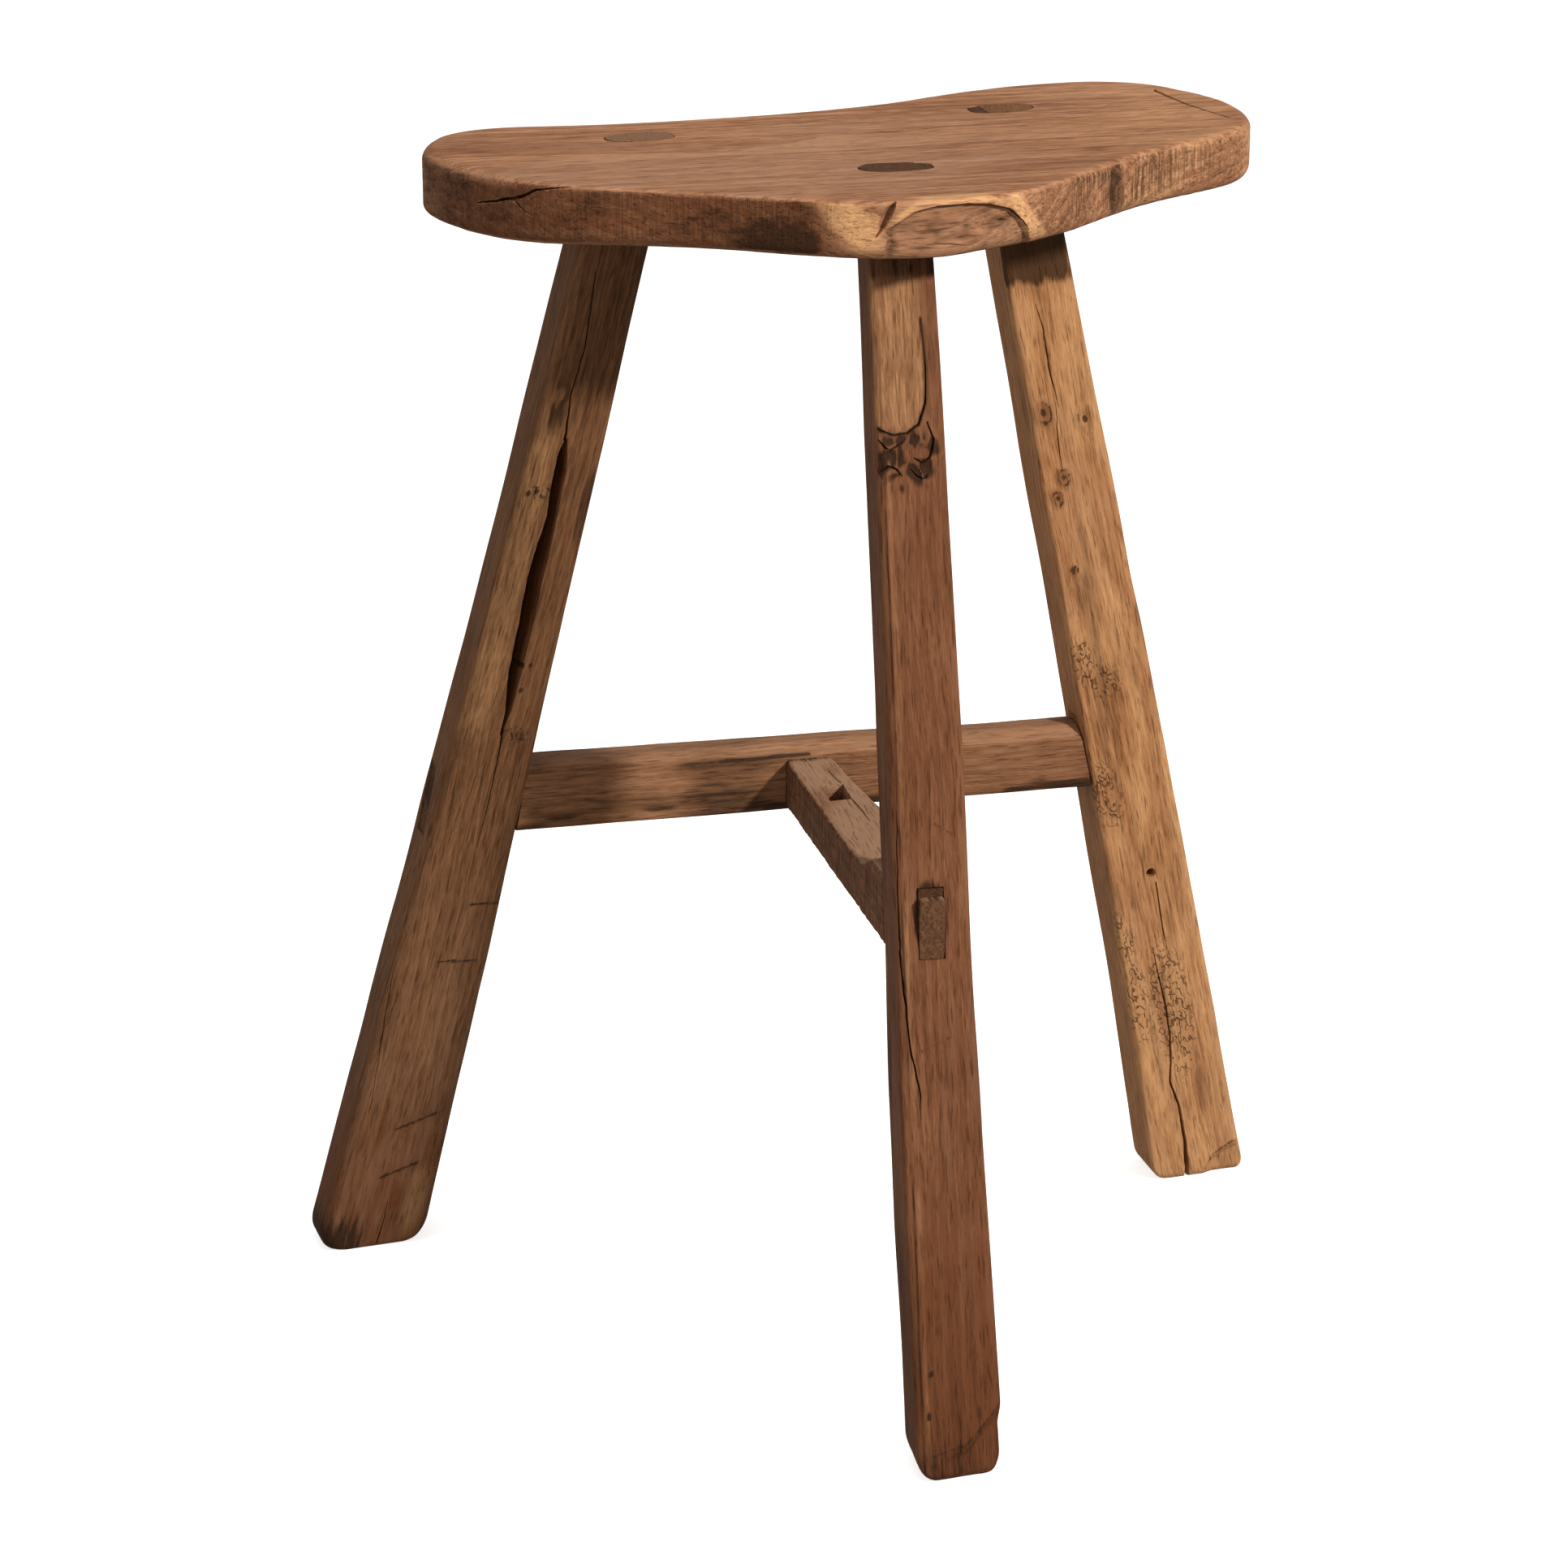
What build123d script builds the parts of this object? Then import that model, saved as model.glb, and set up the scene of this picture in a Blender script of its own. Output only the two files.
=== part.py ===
from build123d import *

import os
from collections import namedtuple
from math import cos, radians, sin

os.makedirs("parts", exist_ok=True)

# Rustic three-legged stool with a half-moon plank seat. Millimetres, +Z up.
# The origin lies on the floor under the middle of the stool. The back stretcher
# runs along X and the single front leg stands towards -Y.

# ---------------------------------------------------------------- seat plank
SEAT_TOP = 500.0
SEAT_THICK = 22.0
SEAT_UNDER = SEAT_TOP - SEAT_THICK
SEAT_TOP_EDGE = 4.0
SEAT_UNDER_EDGE = 5.0

# Outline of the plank, anticlockwise from the left end: the blunt front nose,
# the right end, then the hollow back edge with its hump near the right end.
SEAT_OUTLINE = [
    (-160, 33),
    (-154, 5),
    (-118, -38),
    (-62, -66),
    (-14, -90),
    (40, -86),
    (82, -53),
    (122, -22),
    (158, 4),
    (167, 32),
    (160, 70),
    (140, 95),
    (106, 101),
    (70, 93),
    (22, 75),
    (-32, 67),
    (-98, 66),
    (-148, 60),
]

# Shallow broken pocket in the front nose of the plank.
SCAR_RADIUS = 62.0
SCAR_DEPTH = 3.5
SCAR_CENTRE_X = 26.0
SCAR_FRONT_Y = -92.0
SCAR_MID_Z = 488.0
SCAR_HEIGHT = 14.0

# ---------------------------------------------------------------------- legs
# foot, head: centre of the section on the floor and under the seat (X, Y).
# foot_size, head_size: width across the front face, depth from front to back.
# twist: turn of the section about the vertical, in degrees.
# tenon: left and right edge of the seat tenon, measured from the leg's centre
# line. wedge_side: which edge of the tenon the wedge is driven against.
Leg = namedtuple("Leg", "foot head foot_size head_size twist tenon wedge_side")

LEFT = Leg((-186, 126), (-82, 42), (46, 26), (25.5, 27), 6, (-11, 10), 1)
RIGHT = Leg((188, 116), (80, 61), (42.5, 26), (27, 25), 4, (-8, 12), -1)
FRONT = Leg((14, -127), (7, -38), (35, 26), (25, 25), -2, (-12, 10), 1)

ARRIS_WEAR = 2.0
FOOT_CORNER = 4.5
SEAT_TENON_THICK = 14.0

SEAT_WEDGE_LENGTH = 18.0
SEAT_WEDGE_HEAD = 5.5
SEAT_WEDGE_TIP = 0.8

# Long drying split, open in the front face of the left leg. The outline is
# drawn on that face: across the leg from its centre line, then up the leg.
SPLIT_MID_HEIGHT = 320.0
SPLIT_DEPTH = 14.0
SPLIT_OUTLINE = [
    (-4.0, 69),
    (-4.4, 46),
    (-2.8, 18),
    (-4.5, -2),
    (-2.9, -36),
    (0.4, -69),
    (1.5, -69),
    (3.8, -52),
    (4.1, -26),
    (3.0, 4),
    (2.0, 34),
    (0.4, 56),
    (-2.6, 69),
]

# Round insect hole in the front face of the right leg.
WORM_HEIGHT = 156.5
WORM_OFFSET = 1.5
WORM_RADIUS = 2.0
WORM_DEPTH = 12.0

# ------------------------------------------------------------ back stretcher
RAIL_FRONT_Y = 79.0
RAIL_THICK = 18.0
RAIL_HEIGHT = 30.0
RAIL_MID_Z = 216.5
RAIL_TOP_WEAR = 4.0
RAIL_UNDER_WEAR = 1.5
RAIL_REACH = 200.0
RAIL_TENON_THICK = 9.0
RAIL_TENON_Y = 88.5
RAIL_TENON_RECESS = 1.5

# ---------------------------------------------------------- middle stretcher
# It joins the back stretcher to the front leg and doubles as a foot rest, so
# its top is worn down except close to the leg.
TIE_BACK_X = 2.0
TIE_BACK_WIDTH = 20.0
TIE_FRONT_X = 9.0
TIE_FRONT_WIDTH = 26.0
TIE_FRONT_Y = -80.0
TIE_UNDER_Z = 204.0
TIE_WORN_Z = 224.0
TIE_TOP_Z = 231.0
TIE_WEAR_END_Y = -42.0
TIE_WEAR_RISE = (-51.0, 226.0)
TIE_CREST_Y = -58.0
TIE_UNDER_WEAR = 1.5

TIE_TENON_WIDTH = 10.0
TIE_TENON_X = 9.0
TIE_TENON_BACK_Y = -68.0
TIE_TENON_OVERRUN_Y = -110.0
TIE_TENON_UNDER_Z = 206.0
TIE_TENON_TOP_Z = 230.0
TIE_TENON_PROUD = 0.8

TIE_WEDGE_LENGTH = 18.0
TIE_WEDGE_HEAD = 3.4
TIE_WEDGE_TIP = 0.6

STUB_WIDTH = 10.0
STUB_HEIGHT = 14.0
STUB_DEPTH = 9.0

# Disused mortise left in the top of the middle stretcher.
OLD_MORTISE_X = 4.0
OLD_MORTISE_Y = 39.0
OLD_MORTISE_WIDTH = 10.0
OLD_MORTISE_LENGTH = 19.0
OLD_MORTISE_DEPTH = 13.0


def across_axis(leg):
    """Horizontal direction across the leg's front face."""
    turn = radians(leg.twist)
    return Vector(cos(turn), sin(turn), 0)


def depth_axis(leg):
    """Horizontal direction from the leg's front face to its back face."""
    turn = radians(leg.twist)
    return Vector(-sin(turn), cos(turn), 0)


def leg_point(leg, height, across=0, depth=0):
    """Point in the leg at a height; across and depth of -1..1 reach its faces."""
    part_way = height / SEAT_UNDER
    foot = Vector(leg.foot[0], leg.foot[1], 0)
    head = Vector(leg.head[0], leg.head[1], SEAT_UNDER)
    width = leg.foot_size[0] + (leg.head_size[0] - leg.foot_size[0]) * part_way
    deep = leg.foot_size[1] + (leg.head_size[1] - leg.foot_size[1]) * part_way
    centre = foot + (head - foot) * part_way
    return centre + across_axis(leg) * (across * width / 2) + depth_axis(leg) * (depth * deep / 2)


def section_plane(leg, height):
    """Horizontal plane centred on the leg and turned with its section."""
    return Plane(origin=leg_point(leg, height), x_dir=across_axis(leg), z_dir=(0, 0, 1))


def face_plane(leg, height, across=0, depth=0):
    """Plane of one of the leg's four long faces, its normal pointing outwards."""
    low = leg_point(leg, 0, across, depth)
    high = leg_point(leg, SEAT_UNDER, across, depth)
    level = depth_axis(leg) * across - across_axis(leg) * depth
    return Plane(origin=leg_point(leg, height, across, depth), x_dir=level, z_dir=level.cross(high - low))


def leg_shaft(leg):
    """Tapered, splayed leg with bevelled long edges and foot corners, and its tenon."""
    with BuildPart() as shaft:
        with BuildSketch(section_plane(leg, 0)):
            Rectangle(*leg.foot_size)
        with BuildSketch(section_plane(leg, SEAT_UNDER)):
            Rectangle(*leg.head_size)
        loft(ruled=True)
        foot_edges = shaft.faces().sort_by(Axis.Z)[0].edges()
        foot_ends = foot_edges.filter_by(lambda edge: abs(edge.tangent_at(0).dot(across_axis(leg))) < 0.5)
        chamfer(foot_ends, FOOT_CORNER)
        long_edges = shaft.edges().filter_by(lambda edge: edge.length > SEAT_UNDER / 2)
        chamfer(long_edges, ARRIS_WEAR)
    with BuildPart() as whole:
        add(shaft.part)
        add(seat_tenon(leg))
    return whole.part


def seat_tenon(leg):
    """Through tenon that carries the leg's line on to the top of the seat."""
    tenon_width = leg.tenon[1] - leg.tenon[0]
    tenon_middle = (leg.tenon[1] + leg.tenon[0]) / 2
    with BuildPart() as tenon:
        for height in (SEAT_UNDER, SEAT_TOP):
            with BuildSketch(section_plane(leg, height)):
                with Locations((tenon_middle, 0)):
                    Rectangle(tenon_width, SEAT_TENON_THICK)
        loft(ruled=True)
    return tenon.part


def seat_wedge(leg):
    """Wedge driven down between the seat tenon and one end of its mortise."""
    tenon_edge = leg.tenon[1] if leg.wedge_side > 0 else leg.tenon[0]
    with BuildPart() as wedge:
        for height, width in ((SEAT_TOP - SEAT_WEDGE_LENGTH, SEAT_WEDGE_TIP), (SEAT_TOP, SEAT_WEDGE_HEAD)):
            with BuildSketch(section_plane(leg, height)):
                with Locations((tenon_edge + leg.wedge_side * width / 2, 0)):
                    Rectangle(width, SEAT_TENON_THICK)
        loft(ruled=True)
    return wedge.part


# ---------------------------------------------------- members of the joints
# Straight bars that become the through tenons; each leg is mortised with them.
with BuildPart() as rail_tenon_bar:
    with BuildSketch(Plane.YZ.offset(-RAIL_REACH)):
        with Locations((RAIL_TENON_Y, RAIL_MID_Z)):
            Rectangle(RAIL_TENON_THICK, RAIL_HEIGHT)
    extrude(amount=2 * RAIL_REACH)

with BuildPart() as tie_tenon_bar:
    with BuildSketch(Plane.XZ.offset(-TIE_TENON_BACK_Y)):
        with Locations((TIE_TENON_X, (TIE_TENON_UNDER_Z + TIE_TENON_TOP_Z) / 2)):
            Rectangle(TIE_TENON_WIDTH, TIE_TENON_TOP_Z - TIE_TENON_UNDER_Z)
    extrude(amount=TIE_TENON_BACK_Y - TIE_TENON_OVERRUN_Y)

with BuildPart() as stub_tenon:
    with BuildSketch(Plane.XZ.offset(-RAIL_FRONT_Y)):
        with Locations((TIE_BACK_X, (TIE_UNDER_Z + TIE_WORN_Z) / 2)):
            Rectangle(STUB_WIDTH, STUB_HEIGHT)
    extrude(amount=-STUB_DEPTH)

# Wedge above the middle stretcher's through tenon, its head in the leg's face.
wedge_head_y = leg_point(FRONT, TIE_TENON_TOP_Z, depth=-1).Y
with BuildPart() as front_tenon_wedge:
    with BuildSketch(Plane.YZ.offset(TIE_TENON_X - TIE_TENON_WIDTH / 2)):
        with BuildLine():
            Polyline(
                (wedge_head_y, TIE_TENON_TOP_Z),
                (wedge_head_y + TIE_WEDGE_LENGTH, TIE_TENON_TOP_Z),
                (wedge_head_y + TIE_WEDGE_LENGTH, TIE_TENON_TOP_Z + TIE_WEDGE_TIP),
                (wedge_head_y, TIE_TENON_TOP_Z + TIE_WEDGE_HEAD),
                close=True,
            )
        make_face()
    extrude(amount=TIE_TENON_WIDTH)

# Wedges of the three seat tenons.
with BuildPart() as seat_wedge_left:
    add(seat_wedge(LEFT))

with BuildPart() as seat_wedge_right:
    add(seat_wedge(RIGHT))

with BuildPart() as seat_wedge_front:
    add(seat_wedge(FRONT))

# ---------------------------------------------------------------------- legs
with BuildPart() as left_leg:
    add(leg_shaft(LEFT))
    add(rail_tenon_bar.part, mode=Mode.SUBTRACT)
    with BuildSketch(face_plane(LEFT, SPLIT_MID_HEIGHT, depth=-1)):
        with BuildLine():
            Polyline(*SPLIT_OUTLINE, close=True)
        make_face()
    extrude(amount=-SPLIT_DEPTH, mode=Mode.SUBTRACT)

with BuildPart() as right_leg:
    add(leg_shaft(RIGHT))
    add(rail_tenon_bar.part, mode=Mode.SUBTRACT)
    with BuildSketch(face_plane(RIGHT, WORM_HEIGHT, depth=-1)):
        with Locations((WORM_OFFSET, 0)):
            Circle(WORM_RADIUS)
    extrude(amount=-WORM_DEPTH, mode=Mode.SUBTRACT)

with BuildPart() as front_leg:
    add(leg_shaft(FRONT))
    add(tie_tenon_bar.part, mode=Mode.SUBTRACT)
    add(front_tenon_wedge.part, mode=Mode.SUBTRACT)

# ---------------------------------------------------------------- stretchers
with BuildPart() as rail_tenon:
    add(rail_tenon_bar.part)
    split(bisect_by=face_plane(LEFT, RAIL_MID_Z, across=-1).offset(-RAIL_TENON_RECESS), keep=Keep.BOTTOM)
    split(bisect_by=face_plane(RIGHT, RAIL_MID_Z, across=1).offset(-RAIL_TENON_RECESS), keep=Keep.BOTTOM)

with BuildPart() as rail_body:
    with BuildSketch(Plane.YZ.offset(-RAIL_REACH)):
        with Locations((RAIL_FRONT_Y + RAIL_THICK / 2, RAIL_MID_Z)):
            Rectangle(RAIL_THICK, RAIL_HEIGHT)
    extrude(amount=2 * RAIL_REACH)
    fillet(rail_body.edges().filter_by(Axis.X).group_by(Axis.Z)[-1], RAIL_TOP_WEAR)
    fillet(rail_body.edges().filter_by(Axis.X).group_by(Axis.Z)[0], RAIL_UNDER_WEAR)
    split(bisect_by=face_plane(LEFT, RAIL_MID_Z, across=1), keep=Keep.TOP)
    split(bisect_by=face_plane(RIGHT, RAIL_MID_Z, across=-1), keep=Keep.TOP)

with BuildPart() as back_stretcher:
    add(rail_body.part)
    add(rail_tenon.part)
    add(stub_tenon.part, mode=Mode.SUBTRACT)

with BuildPart() as tie_body:
    with BuildSketch(Plane.XY.offset(TIE_UNDER_Z)):
        with BuildLine():
            Polyline(
                (TIE_BACK_X - TIE_BACK_WIDTH / 2, RAIL_FRONT_Y),
                (TIE_FRONT_X - TIE_FRONT_WIDTH / 2, TIE_FRONT_Y),
                (TIE_FRONT_X + TIE_FRONT_WIDTH / 2, TIE_FRONT_Y),
                (TIE_BACK_X + TIE_BACK_WIDTH / 2, RAIL_FRONT_Y),
                close=True,
            )
        make_face()
    extrude(amount=TIE_TOP_Z - TIE_UNDER_Z)
    under_edges = tie_body.edges().group_by(Axis.Z)[0]
    fillet(under_edges.filter_by(lambda edge: edge.length > TIE_FRONT_WIDTH), TIE_UNDER_WEAR)
    # Wear of the top: level for most of the length, rising close to the leg.
    with BuildSketch(Plane.YZ.offset(TIE_FRONT_X)):
        with BuildLine():
            ThreePointArc((TIE_WEAR_END_Y, TIE_WORN_Z), TIE_WEAR_RISE, (TIE_CREST_Y, TIE_TOP_Z))
            Polyline(
                (TIE_CREST_Y, TIE_TOP_Z),
                (RAIL_FRONT_Y, TIE_TOP_Z),
                (RAIL_FRONT_Y, TIE_WORN_Z),
                (TIE_WEAR_END_Y, TIE_WORN_Z),
            )
        make_face()
    extrude(amount=TIE_FRONT_WIDTH, both=True, mode=Mode.SUBTRACT)
    with BuildSketch(Plane.XY.offset(TIE_WORN_Z)):
        with Locations((OLD_MORTISE_X, OLD_MORTISE_Y)):
            Rectangle(OLD_MORTISE_WIDTH, OLD_MORTISE_LENGTH)
    extrude(amount=-OLD_MORTISE_DEPTH, mode=Mode.SUBTRACT)
    split(bisect_by=face_plane(FRONT, TIE_UNDER_Z, depth=1), keep=Keep.TOP)

with BuildPart() as tie_tenon:
    add(tie_tenon_bar.part)
    split(bisect_by=face_plane(FRONT, TIE_UNDER_Z, depth=-1).offset(TIE_TENON_PROUD), keep=Keep.BOTTOM)

with BuildPart() as front_stretcher:
    add(tie_body.part)
    add(tie_tenon.part)
    add(stub_tenon.part)

# ---------------------------------------------------------------------- seat
with BuildPart() as seat:
    with BuildSketch(Plane.XY.offset(SEAT_UNDER)):
        with BuildLine():
            Spline(*SEAT_OUTLINE, periodic=True)
        make_face()
    extrude(amount=SEAT_THICK)
    fillet(seat.edges().group_by(Axis.Z)[-1], SEAT_TOP_EDGE)
    fillet(seat.edges().group_by(Axis.Z)[0], SEAT_UNDER_EDGE)
    with Locations((SCAR_CENTRE_X, SCAR_FRONT_Y - SCAR_RADIUS + SCAR_DEPTH, SCAR_MID_Z)):
        Cylinder(SCAR_RADIUS, SCAR_HEIGHT, mode=Mode.SUBTRACT)
    for leg in (LEFT, RIGHT, FRONT):
        add(seat_tenon(leg), mode=Mode.SUBTRACT)
        add(seat_wedge(leg), mode=Mode.SUBTRACT)

# -------------------------------------------------------------------- export
PIECES = {
    "seat": seat,
    "left_leg": left_leg,
    "right_leg": right_leg,
    "front_leg": front_leg,
    "back_stretcher": back_stretcher,
    "front_stretcher": front_stretcher,
    "seat_wedge_left": seat_wedge_left,
    "seat_wedge_right": seat_wedge_right,
    "seat_wedge_front": seat_wedge_front,
    "front_tenon_wedge": front_tenon_wedge,
}
for name, piece in PIECES.items():
    piece.part.label = name
    export_step(piece.part, f"parts/{name}.step")
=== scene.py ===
import math
from collections import namedtuple
from itertools import product

import bpy
import numpy as np
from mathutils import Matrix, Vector


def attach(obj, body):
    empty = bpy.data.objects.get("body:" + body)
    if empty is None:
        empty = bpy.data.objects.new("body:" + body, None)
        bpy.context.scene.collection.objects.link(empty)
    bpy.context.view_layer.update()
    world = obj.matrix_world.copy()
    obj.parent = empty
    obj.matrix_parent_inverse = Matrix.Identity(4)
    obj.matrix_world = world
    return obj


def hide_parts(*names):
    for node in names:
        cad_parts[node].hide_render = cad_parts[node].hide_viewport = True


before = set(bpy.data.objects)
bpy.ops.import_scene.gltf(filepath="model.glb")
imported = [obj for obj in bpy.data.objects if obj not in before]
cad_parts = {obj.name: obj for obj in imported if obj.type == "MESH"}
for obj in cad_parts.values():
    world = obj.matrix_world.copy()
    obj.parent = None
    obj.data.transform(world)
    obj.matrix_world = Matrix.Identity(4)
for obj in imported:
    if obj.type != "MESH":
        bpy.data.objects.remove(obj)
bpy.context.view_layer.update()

# Lengths are in millimetres while a piece is shaped, and in metres in its mesh.
MM = 0.001
SEAT_TOP = 500.0
SEAT_UNDER = 478.0


# ------------------------------------------------------------------ small maths
def smooth(low, high, x):
    """Smooth step from 0 at low to 1 at high; it falls instead if high < low."""
    t = np.clip((x - low) / (high - low), 0, 1)
    return t * t * (3 - 2 * t)


def band(x, low, high, soft):
    return smooth(low - soft, low + soft, x) * (1 - smooth(high - soft, high + soft, x))


def blob(x, y, cx, cy, rx, ry, soft=0.35):
    """1 inside an ellipse, falling softly to 0 outside it."""
    r = np.hypot((x - cx) / rx, (y - cy) / ry)
    return 1 - smooth(1 - soft, 1 + soft, r)


def lattice(ix, iy, iz, seed):
    h = (ix * 374761393 + iy * 668265263 + iz * 1440662683 + seed * 1274126177) & 0xFFFFFFFF
    h = ((h ^ (h >> 13)) * 1274126177) & 0xFFFFFFFF
    return ((h ^ (h >> 16)) & 0xFFFF) / 32767.5 - 1


def noise(p, period, seed, octaves=2):
    """Smooth value noise from -1 to 1 at points p, with one period per axis."""
    q = np.asarray(p, float) / np.asarray(period, float) + seed * 3.173
    total = np.zeros(len(q))
    weight, whole = 1.0, 0.0
    for octave in range(octaves):
        cell = np.floor(q).astype(np.int64)
        f = q - cell
        f = f * f * (3 - 2 * f)
        for dx, dy, dz in product((0, 1), repeat=3):
            share = np.abs(1 - dx - f[:, 0]) * np.abs(1 - dy - f[:, 1]) * np.abs(1 - dz - f[:, 2])
            hashed = lattice(cell[:, 0] + dx, cell[:, 1] + dy, cell[:, 2] + dz, seed + octave)
            total += weight * share * hashed
        whole += weight
        weight *= 0.5
        q = q * 2.03 + 5.7
    return total / whole


def path_distance(x, y, path):
    """Distance from points (x, y) to a polyline."""
    best = np.full(len(x), 1e9)
    for (ax, ay), (bx, by) in zip(path[:-1], path[1:]):
        dx, dy = bx - ax, by - ay
        t = np.clip(((x - ax) * dx + (y - ay) * dy) / (dx * dx + dy * dy), 0, 1)
        best = np.minimum(best, np.hypot(x - ax - t * dx, y - ay - t * dy))
    return best


def path_mask(x, y, path, reach):
    return smooth(reach, 0, path_distance(x, y, path))


def most(*masks):
    """The strongest of several masks at each point."""
    strongest = masks[0]
    for mask in masks[1:]:
        strongest = np.maximum(strongest, mask)
    return strongest


# -------------------------------------------------------------------- meshes
def make_mesh(name, points, faces, smooth_shading=True):
    mesh = bpy.data.meshes.new(name)
    mesh.from_pydata([tuple(p) for p in np.asarray(points) * MM], [], faces)
    mesh.validate()
    mesh.polygons.foreach_set("use_smooth", [smooth_shading] * len(mesh.polygons))
    obj = bpy.data.objects.new(name, mesh)
    bpy.context.scene.collection.objects.link(obj)
    return obj


def read_points(obj):
    co = np.zeros(len(obj.data.vertices) * 3)
    obj.data.vertices.foreach_get("co", co)
    return co.reshape(-1, 3) / MM


def read_normals(obj):
    n = np.zeros(len(obj.data.vertices) * 3)
    obj.data.vertices.foreach_get("normal", n)
    return n.reshape(-1, 3)


def grid_faces(rows, columns):
    """Quads of a tube of rows rings, each of columns points, closed around."""
    faces = []
    for r in range(rows - 1):
        a, b = r * columns, (r + 1) * columns
        for c in range(columns):
            d = (c + 1) % columns
            faces.append((a + c, a + d, b + d, b + c))
    return faces


def cut(obj, cutters):
    """Cuts the cutters out of obj; the walls they leave take the second material."""
    for cutter in cutters:
        cutter.data.materials.append(None)
        cutter.data.materials.append(None)
        cutter.data.polygons.foreach_set("material_index", [1] * len(cutter.data.polygons))
        mod = obj.modifiers.new("cut", "BOOLEAN")
        mod.operation = "DIFFERENCE"
        mod.solver = "MANIFOLD"
        mod.object = cutter
    bpy.context.view_layer.update()
    done = bpy.data.meshes.new_from_object(obj.evaluated_get(bpy.context.evaluated_depsgraph_get()))
    obj.modifiers.clear()
    old = obj.data
    obj.data = done
    bpy.data.meshes.remove(old)
    for cutter in cutters:
        mesh = cutter.data
        bpy.data.objects.remove(cutter)
        bpy.data.meshes.remove(mesh)


def join(objects):
    """Joins objects into the first one."""
    bpy.ops.object.select_all(action="DESELECT")
    for obj in objects:
        obj.select_set(True)
    bpy.context.view_layer.objects.active = objects[0]
    bpy.ops.object.join()
    return objects[0]


def set_attribute(obj, name, kind, values):
    attribute = obj.data.attributes.new(name, kind, "POINT")
    key = "vector" if kind == "FLOAT_VECTOR" else "color"
    attribute.data.foreach_set(key, np.ascontiguousarray(values, np.float32).ravel())


# Every mask runs from 0 to 1: the stain mask is dark weathering and also painted shade, pale is
# sapwood, grey is dry worn wood, saw is saw marks across the grain, worn is rubbed arrises,
# red is red heartwood, end is end grain, track is beetle tracks.
MASKS = ("stain_and_shade", "pale", "grey", "saw", "worn", "red", "end", "track")
SHARP_EDGE = math.radians(42)


def finish_piece(piece, node, wood, grain, masks):
    """Stores the grain coordinates and masks, gives the woods, and stands in for the node."""
    piece.name = node + "_wood"
    count = len(piece.data.vertices)
    layers = [np.clip(masks.get(key, np.zeros(count)), 0, 1) for key in MASKS]
    set_attribute(piece, "grain", "FLOAT_VECTOR", grain * MM)
    set_attribute(piece, "tone", "FLOAT_COLOR", np.column_stack(layers[:4]))
    set_attribute(piece, "marks", "FLOAT_COLOR", np.column_stack(layers[4:]))
    piece.data.materials.clear()
    piece.data.materials.append(WOODS[wood])
    piece.data.materials.append(WOODS["split_wood"])
    piece.data.set_sharp_from_angle(angle=SHARP_EDGE)
    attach(piece, "root")
    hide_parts(node)


# ------------------------------------------------------------------ materials
class Nodes:
    """Short ways to add shader nodes to one material."""

    def __init__(self, material):
        material.use_nodes = True
        self.tree = material.node_tree
        self.tree.nodes.clear()

    def node(self, kind, inputs=None, **settings):
        """New node; an input takes another node's output, a number, or a vector or colour."""
        made = self.tree.nodes.new(kind)
        for key, value in settings.items():
            setattr(made, key, value)
        for key, value in (inputs or {}).items():
            socket = made.inputs[key]
            if isinstance(value, (int, float)):
                socket.default_value = value
            elif isinstance(value, tuple):
                socket.default_value = value if len(value) == len(socket.default_value) else (*value, 1)
            else:
                self.tree.links.new(value, socket)
        return made

    def vector(self, operation, a, b):
        return self.node("ShaderNodeVectorMath", {0: a, 1: b}, operation=operation).outputs[0]

    def maths(self, operation, *values, clamp=False):
        """Applies a two-sided operation to the values in turn; clamp acts on the last."""
        total = values[0]
        for value in values[1:]:
            limit = clamp and value is values[-1]
            made = self.node("ShaderNodeMath", {0: total, 1: value}, operation=operation, use_clamp=limit)
            total = made.outputs[0]
        return total

    def add(self, *values, clamp=False):
        return self.maths("ADD", *values, clamp=clamp)

    def times(self, *values, clamp=False):
        return self.maths("MULTIPLY", *values, clamp=clamp)

    def noise(self, vector, factors, detail, roughness, seed):
        """Noise with its own frequency (per metre) along each grain axis."""
        place = self.vector("MULTIPLY", vector, factors)
        inputs = {"Vector": place, "W": seed, "Scale": 1.0, "Detail": detail, "Roughness": roughness}
        return self.node("ShaderNodeTexNoise", inputs, noise_dimensions="4D").outputs["Fac"]

    def ramp(self, value, *stops):
        made = self.node("ShaderNodeValToRGB", {0: value})
        elements = made.color_ramp.elements
        while len(elements) < len(stops):
            elements.new(0.5)
        for element, (place, colour) in zip(elements, stops):
            element.position = place
            element.color = (*colour, 1) if isinstance(colour, tuple) else (colour, colour, colour, 1)
        return made.outputs[0]

    def blend(self, a, b, amount, mode="MIX"):
        inputs = {0: amount, 6: a, 7: b}
        return self.node("ShaderNodeMix", inputs, data_type="RGBA", blend_type=mode).outputs[2]

    def channels(self, attribute):
        source = self.node("ShaderNodeAttribute", attribute_name=attribute)
        parts = self.node("ShaderNodeSeparateColor", {0: source.outputs["Color"]})
        return *parts.outputs, source.outputs["Alpha"]


def wander(make, grain):
    """Grain coordinates that drift slowly, so that rings and fibres aren't straight."""
    place = make.vector("MULTIPLY", grain, (22.0, 22.0, 5.0))
    drift = make.node("ShaderNodeTexNoise", {"Vector": place, "Scale": 1.0, "Detail": 3.0})
    centred = make.vector("SUBTRACT", drift.outputs["Color"], (0.5, 0.5, 0.5))
    return make.vector("ADD", grain, make.vector("MULTIPLY", centred, (0.010, 0.010, 0.0)))


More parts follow.
